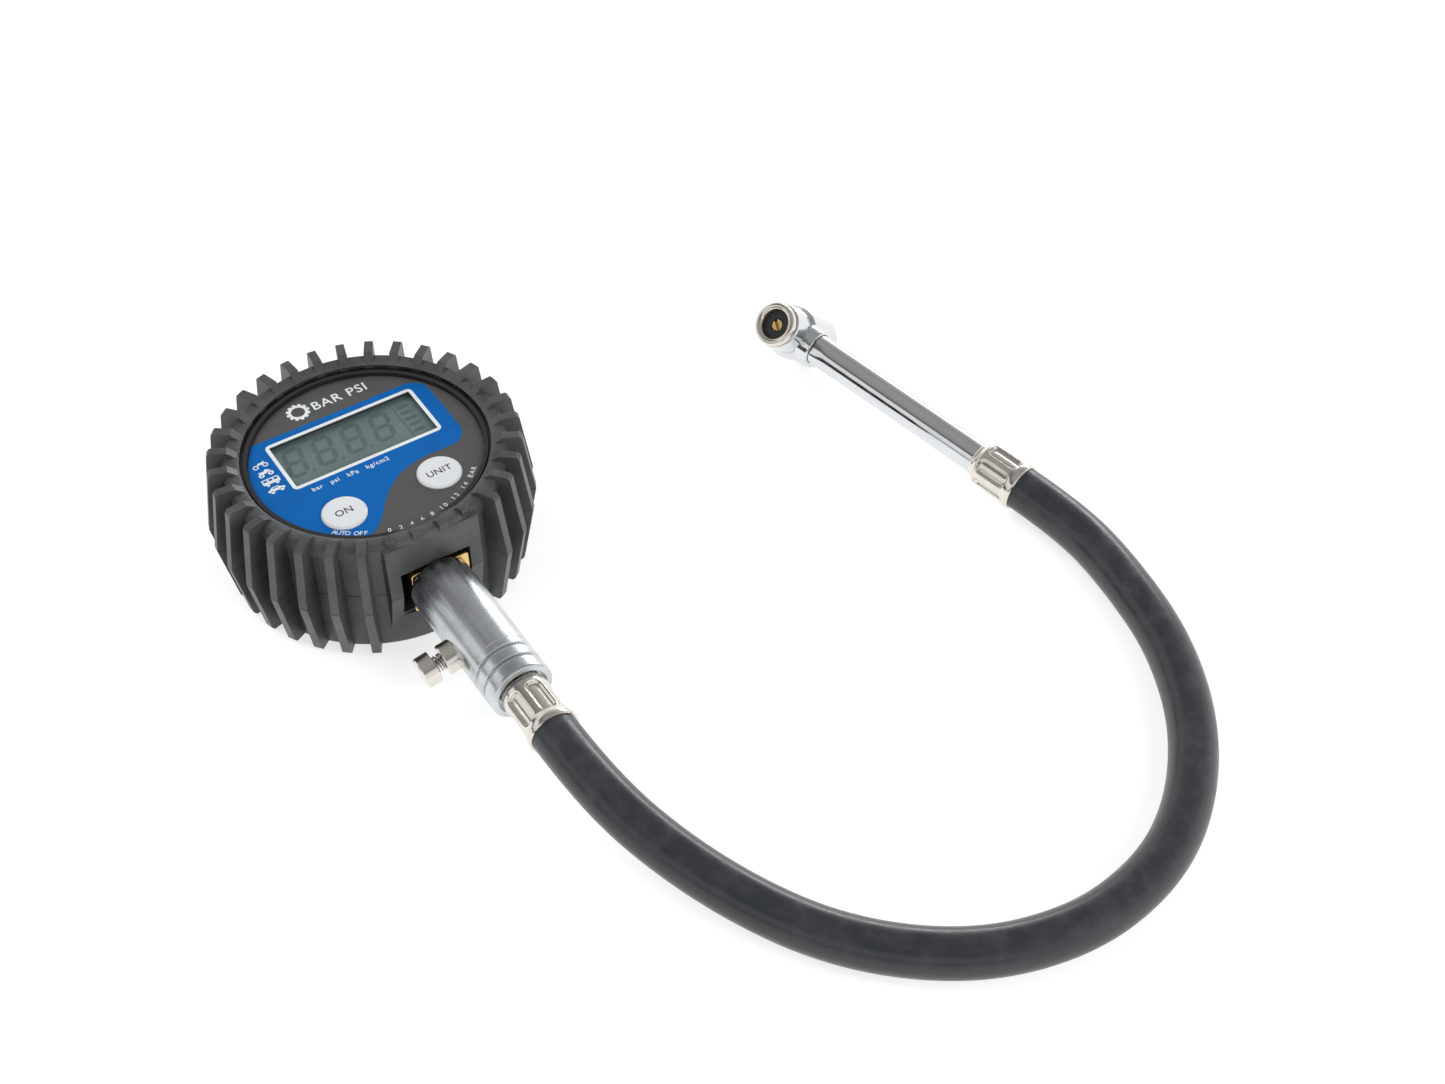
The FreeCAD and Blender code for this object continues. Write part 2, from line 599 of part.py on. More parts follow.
def ferrule(label, place):
    """A crimped sleeve; own +Z runs from its tail, on the metal, to its flared mouth."""
    shell = turned(label + "_shell", [
        ("tail_bore", 0), ("ferrule_tail - edge", 0), ("ferrule_tail", "edge"),
        ("ferrule_tail", "ferrule_lip"), ("ferrule_radius", "ferrule_lip + lip_slope"),
        ("ferrule_radius", "ferrule_long - flare_start"),
        ("ferrule_mouth", "ferrule_long - flare_end"), ("ferrule_mouth", "ferrule_long"),
        ("crimp_bore", "ferrule_long"), ("crimp_bore", "ferrule_lip"),
        ("tail_bore", "ferrule_lip")])
    shell.Placement = place
    tools = []
    count = int(size("dimple_count"))
    straight = size("dimple_long") / 2 - size("dimple_half")
    deep = "ferrule_mouth - dimple_floor"
    for number in range(count):
        spoke = place.multiply(at(0, 0, size("dimple_middle"),
                                  Turn(UP, FULL_TURN * (number + 0.5) / count)))
        floor = spoke.multiply(at(size("dimple_floor"), 0, 0, Turn(V(0, 1, 0), 90)))
        tools.append(block("dimple_slot", "dimple_long - 2 * dimple_half", "2 * dimple_half",
                           deep, floor))
        for end in (-straight, straight):
            tools.append(rod("dimple_end", "dimple_half", deep, floor.multiply(at(end, 0, 0))))
    keep(cut(label, shell, *tools))


def barb_outline():
    """The bore's end and the ridged outside of a hose barb, from its tip to its shoulder."""
    count = int(size("barb_count"))
    pitch = f"(barb_stop - barb_start) / {count}"
    points = [("air_radius", "barb_start")]
    for number in range(count):
        points.append(("barb_root", f"barb_start + {number} * {pitch}"))
        points.append(("barb_radius", f"barb_start + {number + 1} * {pitch}"))
    return points + [("tail_bore", "barb_stop")]


def hose_barb():
    """Own +Z runs back from the hose towards the stem."""
    shoulder = "ferrule_long + edge"
    barb = turned("hose_barb", barb_outline() + [
        ("tail_bore", shoulder), ("thread_radius", shoulder),
        ("thread_radius", "barb_thread_end"), ("air_radius", "barb_thread_end")])
    keep(barb, place=FERRULE_A.multiply(at(0, 0, size("ferrule_long"), Turn(RIGHT, 180))))


def hose_path(corners):
    """Straight runs joined by tangent arcs, and the arcs' radii."""
    points = [V(*corner) for corner in corners]
    edges = []
    start = points[0]
    radii = []
    for before, corner, after in zip(points, points[1:], points[2:]):
        back, on = before - corner, after - corner
        shorter = min(back.Length, on.Length)
        half_turn = (math.pi - back.getAngle(on)) / 2
        radius = ARC_SHARE * shorter / math.tan(half_turn)
        radii.append(round(radius, 1))
        first = corner + back.normalize() * ARC_SHARE * shorter
        last = corner + on.normalize() * ARC_SHARE * shorter
        bisector = (back + on).normalize()
        middle = corner + bisector * (radius / math.cos(half_turn) - radius)
        edges.append(Part.LineSegment(start, first).toShape())
        edges.append(Part.Arc(first, middle, last).toShape())
        start = last
    edges.append(Part.LineSegment(start, points[-1]).toShape())
    return Part.Wire(edges), radii


def pipe(wire, radius):
    start = wire.Edges[0].firstVertex().Point
    ahead = wire.Edges[0].tangentAt(wire.Edges[0].FirstParameter)
    circle = Part.Wire(Part.Circle(start, ahead, radius).toShape())
    return wire.makePipeShell([circle], True, False)


def hose():
    """The hose between its two ferrules' mouths, with the squeezed ends inside the ferrules."""
    wire, radii = hose_path(HOSE_ROUTE)
    print("hose arc radii", radii, "path length", round(wire.Length, 1))
    outside = pipe(wire, size("hose_radius"))
    expected = math.pi * size("hose_radius") ** 2 * wire.Length
    print("hose volume over section times length", round(outside.Volume / expected, 4))
    route = [V(*point) for point in HOSE_ROUTE]
    outwards = [(route[0] - route[1]).normalize(), (route[-1] - route[-2]).normalize()]
    solid = outside
    bore = pipe(wire, size("hose_bore"))
    for end, way in zip((route[0], route[-1]), outwards):
        insert = size("insert_long")
        solid = solid.fuse(Part.makeCylinder(size("crimp_bore"), insert, end, way))
        bore = bore.fuse(Part.makeCylinder(size("hose_bore"), insert, end, way))
    feature = doc.addObject("Part::Feature", "hose")
    feature.Shape = solid.cut(bore)
    keep(feature)


# ---------------------------------------------------------------- chuck

def chuck_tube():
    """The barb under the chuck's ferrule and the straight tube up to the head, in one piece."""
    end = "head_distance - tube_stop"
    tube = turned("chuck_tube", barb_outline() + [
        ("tail_bore", "ferrule_long"), ("tube_radius", "ferrule_long"), ("tube_radius", end),
        ("tube_bore", end), ("tube_bore", "tube_step"), ("air_radius", "tube_step")])
    keep(tube, place=TUBE)


def chuck_body():
    """The head's middle line is its own +Z; the tube comes in near its own +X."""
    shoulder = "front_rim - cap_long"
    barrel = turned("head_barrel", [
        (0, "barrel_end"), ("barrel_radius - edge", "barrel_end"),
        ("barrel_radius", "barrel_end + edge"), ("barrel_radius", "collar_low"),
        ("collar_radius", "collar_low + edge"), ("collar_radius", "collar_top - collar_edge"),
        ("collar_radius - collar_edge", "collar_top"), ("nose_radius", "collar_top"),
        ("nose_radius", shoulder + " - edge"), ("nose_radius - edge", shoulder), (0, shoulder)])
    to_tube = at(0, 0, 0, Turn(V(0, 1, 0), 90 + size("head_lean")))
    solid = fuse("head_solid", barrel, rod("head_boss", "boss_radius", "boss_reach", to_tube))
    floor = size("chamber_floor") - size("rear_rim") - size("overcut")
    tools = [
        rod("head_passage", "pin_guide",
            "front_rim + rear_rim - 2 * chamber_floor + 2 * overcut", at(0, 0, floor)),
        rod("head_socket", "tube_radius", "boss_reach",
            to_tube.multiply(at(0, 0, size("tube_stop")))),
        rod("head_inlet", "tube_bore", "boss_reach", to_tube)]
    for rim, flip in (("front_rim", Turn()), ("rear_rim", Turn(RIGHT, 180))):
        for name, radius, depth in (
                ("head_chamber", "seal_chamber", "chamber_floor"),
                ("head_thread", "cap_thread", "cap_deep"),
                ("head_sink", "cap_outer + slip", "cap_long")):
            lift = at(0, 0, 0, flip).multiply(at(0, 0, size(rim) - size(depth)))
            tools.append(rod(name, radius, depth, lift))
    keep(cut("chuck_body", solid, *tools), place=HEAD)


def chuck_cap(label, rim, frame):
    """The threaded nut of one mouth; own +Z leaves the mouth."""
    floor = rim + " - mouth_deep"
    foot, shoulder = rim + " - cap_deep", rim + " - cap_long"
    keep(turned(label, [
        ("mouth_radius", floor), ("seal_cavity", floor), ("seal_cavity", foot),
        ("cap_thread", foot), ("cap_thread", shoulder), ("cap_outer", shoulder),
        ("cap_outer", rim + " - cap_chamfer"), ("cap_outer - cap_chamfer", rim),
        ("mouth_radius + mouth_chamfer", rim), ("mouth_radius", rim + " - mouth_chamfer")]),
        place=frame)


def chuck_seal(label, rim, frame):
    foot, step = rim + " - cap_deep", rim + " - seal_step"
    top = rim + " - mouth_deep - slip"
    keep(turned(label, [
        ("seal_chamber", foot), ("seal_radius", foot), ("seal_radius", top),
        ("seal_hole + seal_dish", top), ("seal_hole", top + " - seal_dish"),
        ("seal_hole", step), ("seal_chamber", step)]), place=frame)


def chuck_pin(side, rim, frame):
    """The slotted pin that opens the tyre's valve, and its spring."""
    flange_top = rim + " - seal_step - slip"
    flange_low = flange_top + " - pin_flange_thick"
    foot, top = rim + " - pin_long", rim + " - pin_drop"
    shaft = turned(side + "_pin_shaft", [
        (0, foot), ("pin_stem", foot), ("pin_stem", flange_low), ("pin_flange", flange_low),
        ("pin_flange", flange_top), ("pin_radius", flange_top), ("pin_radius", top), (0, top)])
    slot_low = size(rim) - size("pin_drop") - size("slot_deep")
    slot = block(side + "_pin_slot", "slot_wide", "2 * pin_flange", "pin_drop",
                 at(0, 0, slot_low))
    keep(cut(side + "_pin", shaft, slot), place=frame)
    floor = size(rim) - size("chamber_floor") + size("slip")
    rest = size(rim) - size("seal_step") - size("pin_flange_thick") - 2 * size("slip")
    spring(side + "_spring", size("pin_coil"), size("coil_wire"), rest - floor,
           size("pin_turns"), frame.multiply(at(0, 0, floor)))


# ---------------------------------------------------------------- the whole gauge

boot()
case_body()
case_front()
face_panel()
case_screws()
display()
circuit_board()
for side, place in zip(("on", "unit"), BUTTON_PLACES):
    button(side, place)
battery_tray()
battery("battery_front", "cell_front", 1)
battery("battery_back", "cell_back", -1)
battery_contacts()
battery_door()
pressure_sensor()
brass_fitting()
stem()
bleed_valve()
ferrule("ferrule_gauge_end", FERRULE_A)
ferrule("ferrule_chuck_end", FERRULE_B)
hose_barb()
hose()
chuck_tube()
chuck_body()
for side, rim, frame in (("front", "front_rim", HEAD), ("rear", "rear_rim", HEAD_BACK)):
    chuck_cap(side + "_cap", rim, frame)
    chuck_seal(side + "_seal", rim, frame)
    chuck_pin(side, rim, frame)
doc.recompute()

for feature in doc.Objects:
    if "Invalid" in feature.State or "Error" in feature.State:
        raise RuntimeError(f"{feature.Name} failed: {feature.State}")
for part in PARTS:
    if part.Shape.isNull() or not part.Shape.isValid():
        raise RuntimeError(part.Label + " has no valid shape")
os.makedirs("parts", exist_ok=True)
for part in PARTS:
    part.Shape.exportStep(f"parts/{part.Label}.step")
print(len(PARTS), "parts written")
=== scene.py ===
import json
import math

import bmesh
import bpy
from mathutils import Matrix, Vector


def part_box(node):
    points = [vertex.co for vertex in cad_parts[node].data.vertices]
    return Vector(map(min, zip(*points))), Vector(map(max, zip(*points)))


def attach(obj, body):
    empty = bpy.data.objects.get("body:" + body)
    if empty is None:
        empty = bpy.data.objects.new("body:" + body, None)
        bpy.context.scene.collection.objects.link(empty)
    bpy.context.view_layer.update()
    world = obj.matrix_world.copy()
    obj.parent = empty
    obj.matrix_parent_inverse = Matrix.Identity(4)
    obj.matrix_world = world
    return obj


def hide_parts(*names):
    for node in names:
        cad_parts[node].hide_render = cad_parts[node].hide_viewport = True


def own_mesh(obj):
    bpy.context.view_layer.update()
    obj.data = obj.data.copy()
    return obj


# Looks of the tyre pressure gauge.  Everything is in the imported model's frame, in metres; the
# small sizes are written in millimetres times MM.

MM = 0.001
UP = Vector((0, 0, 1))

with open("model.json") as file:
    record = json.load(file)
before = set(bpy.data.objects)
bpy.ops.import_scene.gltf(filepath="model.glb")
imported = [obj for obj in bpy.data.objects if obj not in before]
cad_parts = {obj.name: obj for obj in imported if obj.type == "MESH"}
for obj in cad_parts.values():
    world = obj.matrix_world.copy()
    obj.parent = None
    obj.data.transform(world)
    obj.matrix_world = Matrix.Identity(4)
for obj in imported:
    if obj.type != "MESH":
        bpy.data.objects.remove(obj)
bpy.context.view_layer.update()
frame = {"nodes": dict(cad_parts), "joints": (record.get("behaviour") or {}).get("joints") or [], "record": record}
nodes = frame["nodes"]

# ---------------------------------------------------------------- places read from the frame

def middle_of(node):
    """The middle of a node's box."""
    low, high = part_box(node)
    return (low + high) / 2


def top_of(node):
    """The height of a node's highest point."""
    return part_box(node)[1].z


# the two halves of the boot meet a little above the lower one's top
SEAM = top_of("boot_lower") + 0.05 * MM
FACE_TOP = top_of("face_panel")
FACE_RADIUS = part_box("face_panel")[1].x
DISPLAY = middle_of("lcd_glass")
BUTTON = middle_of("on_button")
mounts = {mount["name"]: mount for mount in frame["record"]["mounts"]}
MOUTH = Vector(mounts["front_mouth"]["axis"])

# middle line of the hose, from the ferrule at the gauge to the ferrule at the chuck
HOSE_ROUTE = [
    (0.0, -0.090, 0.0177), (0.0, -0.105, 0.0177), (0.004, -0.1235, 0.0143),
    (0.013, -0.143, 0.0093), (0.0245, -0.161, 0.0064), (0.0395, -0.176, 0.0058),
    (0.0575, -0.1862, 0.0058), (0.080, -0.1898, 0.0058), (0.105, -0.1832, 0.0058),
    (0.127, -0.164, 0.0058), (0.141, -0.1386, 0.0058), (0.1464, -0.112, 0.0058),
    (0.1473, -0.0922, 0.0058), (0.1434, -0.0773, 0.0072),
]
HOSE_RADIUS = 5.75 * MM
FERRULE_LONG = 15.5 * MM


def place(origin, z_way, x_way):
    """A frame whose Z runs along z_way, with its X as near to x_way as it can be."""
    z = Vector(z_way).normalized()
    x = (Vector(x_way) - z * z.dot(Vector(x_way))).normalized()
    turn = Matrix((x, z.cross(x), z)).transposed()
    return Matrix.Translation(Vector(origin)) @ turn.to_4x4()


hose_end = Vector(HOSE_ROUTE[-1])
tube_way = (hose_end - Vector(HOSE_ROUTE[-2])).normalized()
# each ferrule's X runs through the middle of one of its dimples; the head's X runs along its
# pins' slots, and the tube's X through its pinch
FERRULE_A = place(Vector(HOSE_ROUTE[0]) + Vector((0, FERRULE_LONG, 0)), (0, -1, 0),
                  (-0.764, 0, 0.645))
FERRULE_B = place(hose_end + tube_way * FERRULE_LONG, -tube_way, (-0.746, -0.253, 0.615))
STEM = place((0, 0, SEAM), (0, -1, 0), (1, 0, 0))
PIN_SLOT = (-0.251, -0.865, -0.435)
TUBE_PINCH = (-0.66, -0.24, 0.70)
# where the tube's middle line meets the line through the chuck's two mouths
HEAD_MIDDLE = Vector((0.123806, -0.002441, 0.014234))
HEAD = place(HEAD_MIDDLE, MOUTH, PIN_SLOT)
HEAD_BACK = place(HEAD_MIDDLE, -MOUTH, PIN_SLOT)
TUBE_FROM_HEAD = place(HEAD_MIDDLE, -tube_way, TUBE_PINCH)
# the tube ends inside the ferrule, short of the hose
TUBE_SHORT_OF_HOSE = 6 * MM
TUBE_LONG = (hose_end - HEAD_MIDDLE).length - TUBE_SHORT_OF_HOSE


# ---------------------------------------------------------------- sums and flat outlines

def smooth_step(value, start, stop):
    """Nothing below start, one above stop, and level at both."""
    t = min(max((value - start) / (stop - start), 0.0), 1.0)
    return t * t * (3 - 2 * t)


def mm(points):
    """Points written in millimetres, in metres."""
    return [(x * MM, y * MM) for x, y in points]


def arc_points(cx, cy, radius, first, last, steps=16):
    """Points on an arc from one angle to another, in degrees."""
    turn = [math.radians(first + (last - first) * i / steps) for i in range(steps + 1)]
    return [(cx + radius * math.cos(a), cy + radius * math.sin(a)) for a in turn]


def circle_loop(cx, cy, radius, steps):
    """Points on a circle, without the first one again."""
    return arc_points(cx, cy, radius, 0, 360, steps)[:-1]


def round_box(cx, cy, wide, high, radius, steps=6):
    """A box's outline with round corners."""
    x, y = wide / 2 - radius, high / 2 - radius
    loop = []
    for sx, sy, first in ((1, 1, 0), (-1, 1, 90), (-1, -1, 180), (1, -1, 270)):
        loop += arc_points(cx + sx * x, cy + sy * y, radius, first, first + 90, steps)
    return loop


def bezier(a, b, c, d):
    """Points on a cubic curve, without its first."""
    steps = 14
    points = []
    for i in range(1, steps + 1):
        t = i / steps
        u = 1 - t
        points.append(tuple(u ** 3 * p + 3 * u * u * t * q + 3 * u * t * t * r + t ** 3 * s
                            for p, q, r, s in zip(a, b, c, d)))
    return points


# ---------------------------------------------------------------- mesh helpers

def new_piece(name, mesh, material=None):
    """An object in the scene, all of one material."""
    piece = bpy.data.objects.new(name, mesh)
    bpy.context.scene.collection.objects.link(piece)
    if material:
        mesh.materials.clear()
        mesh.materials.append(material)
    return piece


TOUCHING = 1e-7


def from_bmesh(name, shape, material, smooth_below=math.radians(32)):
    """A piece from a finished bmesh, smooth where its faces meet at less than an angle."""
    bmesh.ops.remove_doubles(shape, verts=shape.verts, dist=TOUCHING)
    bmesh.ops.recalc_face_normals(shape, faces=shape.faces)
    mesh = bpy.data.meshes.new(name)
    shape.to_mesh(mesh)
    shape.free()
    mesh.shade_smooth()
    mesh.set_sharp_from_angle(angle=smooth_below)
    return new_piece(name, mesh, material)


def polar(where, radius, angle, z):
    """A place in a frame, by its distance from Z, its angle about Z and its height."""
    return where @ Vector((radius * math.cos(angle), radius * math.sin(angle), z))


def add_skin(shape, rows, closed=True, skipped=()):
    """Faces between each row of vertices and the next, and if closed from the last row to the
    first.  Every row is a loop; the sides with a skipped number are left open."""
    following = rows[1:] + (rows[:1] if closed else [])
    for here, there in zip(rows, following):
        for j in range(len(here)):
            k = (j + 1) % len(here)
            if j not in skipped:
                shape.faces.new((here[j], here[k], there[k], there[j]))


def add_ring(shape, where, radius_at, z, steps):
    """A row of vertices about Z, whose radius is radius_at(angle)."""
    turn = [2 * math.pi * j / steps for j in range(steps)]
    return [shape.verts.new(polar(where, radius_at(angle), angle, z)) for angle in turn]


def add_turned(shape, outline, steps, where=Matrix()):
    """Turns a closed outline of (radius, height) about Z into a closed skin."""
    rows = [[shape.verts.new(polar(where, r, 2 * math.pi * step / steps, z))
             for r, z in outline] for step in range(steps)]
    on_axis = [i for i, (r, z) in enumerate(outline)
               if r == 0 and outline[(i + 1) % len(outline)][0] == 0]
    add_skin(shape, rows, skipped=on_axis)


def add_slab(shape, corners, half_thickness, where, taper=1.0):
    """A plate with flat sides: corners are (x, z); a corner's thickness shrinks by taper at
    the largest x."""
    near, far = min(x for x, z in corners), max(x for x, z in corners)

    def half(x):
        return half_thickness * (1 + (taper - 1) * (x - near) / (far - near))

    left = [shape.verts.new(where @ Vector((x, -half(x), z))) for x, z in corners]
    right = [shape.verts.new(where @ Vector((x, half(x), z))) for x, z in corners]
    add_capped(shape, [right, left])


def add_capped(shape, rows):
    """The faces of a block or bar that runs through rows of vertices."""
    shape.faces.new(list(reversed(rows[0])))
    shape.faces.new(rows[-1])
    add_skin(shape, rows, closed=False)


def add_prism(shape, outline, low, high, where):
    """An upright block on a closed outline."""
    floor = [shape.verts.new(where @ Vector((x, y, low))) for x, y in outline]
    roof = [shape.verts.new(where @ Vector((x, y, high))) for x, y in outline]
    add_capped(shape, [floor, roof])


def soften(piece, width, segments=3):
    """Rounds the edges of a piece."""
    bevel = piece.modifiers.new("soft_edges", "BEVEL")
    bevel.width = width
    bevel.segments = segments
    bevel.limit_method = "ANGLE"
    bevel.angle_limit = math.radians(28)
    bevel.harden_normals = False
    bevel.miter_outer = "MITER_ARC"


def carve_box(piece, low, high):
    """Cuts a box from low to high out of a closed piece."""
    shape = bmesh.new()
    bmesh.ops.create_cube(shape, size=1.0)
    middle, span = (low + high) / 2, high - low
    bmesh.ops.transform(shape, matrix=Matrix.Translation(middle) @ Matrix.Diagonal((*span, 1)),
                        verts=shape.verts)
    cutter = from_bmesh("cutter", shape, None)
    carve = piece.modifiers.new("carve", "BOOLEAN")
    carve.operation = "DIFFERENCE"
    carve.solver = "EXACT"
    carve.object = cutter
    apply_modifiers(piece)
    bpy.data.objects.remove(cutter)


def apply_modifiers(piece):
    """Makes what the modifiers do part of the piece's mesh."""
    graph = bpy.context.evaluated_depsgraph_get()
    mesh = bpy.data.meshes.new_from_object(piece.evaluated_get(graph))
    piece.modifiers.clear()
    piece.data = mesh


def joined(name, pieces):
    """One piece with the meshes of several that have the same material."""
    material = pieces[0].data.materials[0]
    shape = bmesh.new()
    for piece in pieces:
        shape.from_mesh(piece.data)
        bpy.data.objects.remove(piece)
    mesh = bpy.data.meshes.new(name)
    shape.to_mesh(mesh)
    shape.free()
    return new_piece(name, mesh, material)


# ---------------------------------------------------------------- materials

def node_set(name):
    """A new material's nodes, its links, its shader and its object coordinates."""
    material = bpy.data.materials.new(name)
    material.use_nodes = True
    tree = material.node_tree
    shader = tree.nodes["Principled BSDF"]
    coordinates = tree.nodes.new("ShaderNodeTexCoord").outputs["Object"]
    return material, tree, shader, coordinates


def noise(tree, coordinates, patch, detail=3.0, stretch=(1, 1, 1), roughness=0.5):
    """A noise whose patches are about patch metres across, longer where stretch is small."""
    mapping = tree.nodes.new("ShaderNodeMapping")
    mapping.inputs["Scale"].default_value = stretch
    tree.links.new(coordinates, mapping.inputs["Vector"])
    texture = tree.nodes.new("ShaderNodeTexNoise")
    texture.inputs["Scale"].default_value = 1 / patch
    texture.inputs["Detail"].default_value = detail
    texture.inputs["Roughness"].default_value = roughness
    tree.links.new(mapping.outputs["Vector"], texture.inputs["Vector"])
    return texture.outputs["Fac"]


def spread(tree, value, low, high, start=0.3, stop=0.7):
    """The value's range from start to stop as low to high."""
    ranged = tree.nodes.new("ShaderNodeMapRange")
    for word, number in (("From Min", start), ("From Max", stop), ("To Min", low),
                         ("To Max", high)):
        ranged.inputs[word].default_value = number
    tree.links.new(value, ranged.inputs["Value"])
    return ranged.outputs["Result"]


# the colour mixer's sockets, which share their names with those for numbers
MIX_FACTOR, MIX_FIRST, MIX_SECOND, MIX_RESULT = 0, 6, 7, 2


def mixed(tree, factor, first, second):
    """A colour between two others; each is a colour or another node's output."""
    mix = tree.nodes.new("ShaderNodeMix")
    mix.data_type = "RGBA"
    tree.links.new(factor, mix.inputs[MIX_FACTOR])
    for socket, colour in ((MIX_FIRST, first), (MIX_SECOND, second)):
        if isinstance(colour, tuple):
            mix.inputs[socket].default_value = (*colour, 1)
        else:
            tree.links.new(colour, mix.inputs[socket])
    return mix.outputs[MIX_RESULT]


def bump(tree, shader, heights):
    """Raises the surface by several (value, depth in metres) one after another."""
    normal = None
    for value, depth in heights:
        raised = tree.nodes.new("ShaderNodeBump")
        raised.inputs["Distance"].default_value = depth
        tree.links.new(value, raised.inputs["Height"])
        if normal:
            tree.links.new(normal, raised.inputs["Normal"])
        normal = raised.outputs["Normal"]
    tree.links.new(normal, shader.inputs["Normal"])


def shade(colour, factor):
    """A lighter or darker colour."""
    return tuple(channel * factor for channel in colour)


def finish_of(name, colour, rough, metal=0.0, mottle=0.1, patch=6 * MM, uneven=0.05,
              grain=0.3 * MM, grain_depth=0.01 * MM, shine=0.5):
    """A surface whose tone and roughness drift over patches, with a fine grain."""
    material, tree, shader, coordinates = node_set(name)
    tone = spread(tree, noise(tree, coordinates, patch), 0.0, 1.0)
    tree.links.new(mixed(tree, tone, shade(colour, 1 - mottle), shade(colour, 1 + mottle)),
                   shader.inputs["Base Color"])
    fine = noise(tree, coordinates, grain, detail=4.0)
    tree.links.new(spread(tree, fine, max(rough - uneven, 0.02), rough + uneven),
                   shader.inputs["Roughness"])
    bump(tree, shader, [(fine, grain_depth)])
    shader.inputs["Metallic"].default_value = metal
    shader.inputs["Specular IOR Level"].default_value = shine
    return material


def boot_rubber():
    """Dark moulded rubber, a little dusty, with a fine pebbled skin."""
    material, tree, shader, coordinates = node_set("boot_rubber")
    dust = spread(tree, noise(tree, coordinates, 9 * MM, detail=6.0), 0.0, 1.0, 0.4, 0.75)
    tone = mixed(tree, dust, (0.046, 0.047, 0.048), (0.074, 0.075, 0.076))
    tree.links.new(tone, shader.inputs["Base Color"])
    skin = noise(tree, coordinates, 0.35 * MM, detail=5.0)
    pits = noise(tree, coordinates, 1.6 * MM, detail=2.0)
    tree.links.new(spread(tree, skin, 0.32, 0.46), shader.inputs["Roughness"])
    bump(tree, shader, [(skin, 0.05 * MM), (pits, 0.05 * MM)])
    shader.inputs["Specular IOR Level"].default_value = 0.45
    return material


def hose_rubber():
    """Smooth extruded rubber, faintly streaked along and scuffed."""
    material, tree, shader, coordinates = node_set("hose_rubber")
    scuff = spread(tree, noise(tree, coordinates, 5 * MM, detail=8.0, roughness=0.65),
                   0.0, 1.0, 0.45, 0.75)
    tone = mixed(tree, scuff, (0.018, 0.021, 0.024), (0.034, 0.037, 0.041))
    tree.links.new(tone, shader.inputs["Base Color"])
    skin = noise(tree, coordinates, 0.5 * MM, detail=5.0)
    lumps = noise(tree, coordinates, 7 * MM, detail=2.0)
    tree.links.new(spread(tree, scuff, 0.28, 0.44, 0.0, 1.0), shader.inputs["Roughness"])
    bump(tree, shader, [(skin, 0.015 * MM), (lumps, 0.1 * MM)])
    shader.inputs["Specular IOR Level"].default_value = 0.5
    return material


def zinc_steel():
    """Turned steel with bluish zinc, drawn along its length, dark where it meets the brass."""
    material, tree, shader, coordinates = node_set("zinc_steel")
    lines = noise(tree, coordinates, 1.2 * MM, detail=3.0, stretch=(1, 0.05, 1))
    cloud = noise(tree, coordinates, 7 * MM, detail=5.0)
    plain = mixed(tree, spread(tree, cloud, 0.0, 1.0), (0.50, 0.53, 0.56), (0.66, 0.69, 0.71))
    place_along = tree.nodes.new("ShaderNodeSeparateXYZ")
    tree.links.new(coordinates, place_along.inputs[0])
    along = place_along.outputs["Y"]
    near_brass = spread(tree, along, 0.0, 1.0, -40.5 * MM, -36 * MM)
    blotch = spread(tree, noise(tree, coordinates, 2.5 * MM, detail=6.0), 0.0, 1.1, 0.4, 0.65)
    soot = tree.nodes.new("ShaderNodeMath")
    soot.operation = "MULTIPLY"
    soot.use_clamp = True
    tree.links.new(near_brass, soot.inputs[0])
    tree.links.new(blotch, soot.inputs[1])
    tone = mixed(tree, soot.outputs[0], plain, (0.12, 0.12, 0.125))
    tree.links.new(tone, shader.inputs["Base Color"])
    tree.links.new(spread(tree, lines, 0.20, 0.34), shader.inputs["Roughness"])
    bump(tree, shader, [(lines, 0.006 * MM), (cloud, 0.04 * MM)])
    shader.inputs["Metallic"].default_value = 1.0
    return material


def display_glass():
    """The grey-green reflective display, its tone drifting a little at random."""
    material, tree, shader, coordinates = node_set("display_glass")
    drift = noise(tree, coordinates, 22 * MM, detail=2.0)
    tone = mixed(tree, spread(tree, drift, 0.0, 1.0), (0.155, 0.228, 0.225),
                 (0.195, 0.272, 0.268))
    tree.links.new(tone, shader.inputs["Base Color"])
    fine = noise(tree, coordinates, 0.4 * MM)
    tree.links.new(spread(tree, fine, 0.28, 0.36), shader.inputs["Roughness"])
    bump(tree, shader, [(fine, 0.002 * MM)])
    return material


def clear_window():
    """A thin clear pane: mostly see-through, with a plain reflection."""
    material, tree, shader, coordinates = node_set("window_clear")
    haze = noise(tree, coordinates, 8 * MM, detail=4.0)
    tree.links.new(spread(tree, haze, 0.03, 0.08), shader.inputs["Roughness"])
    shader.inputs["Base Color"].default_value = (0.02, 0.025, 0.022, 1)
    shader.inputs["Alpha"].default_value = 0.12
    shader.inputs["Specular IOR Level"].default_value = 0.6
    return material


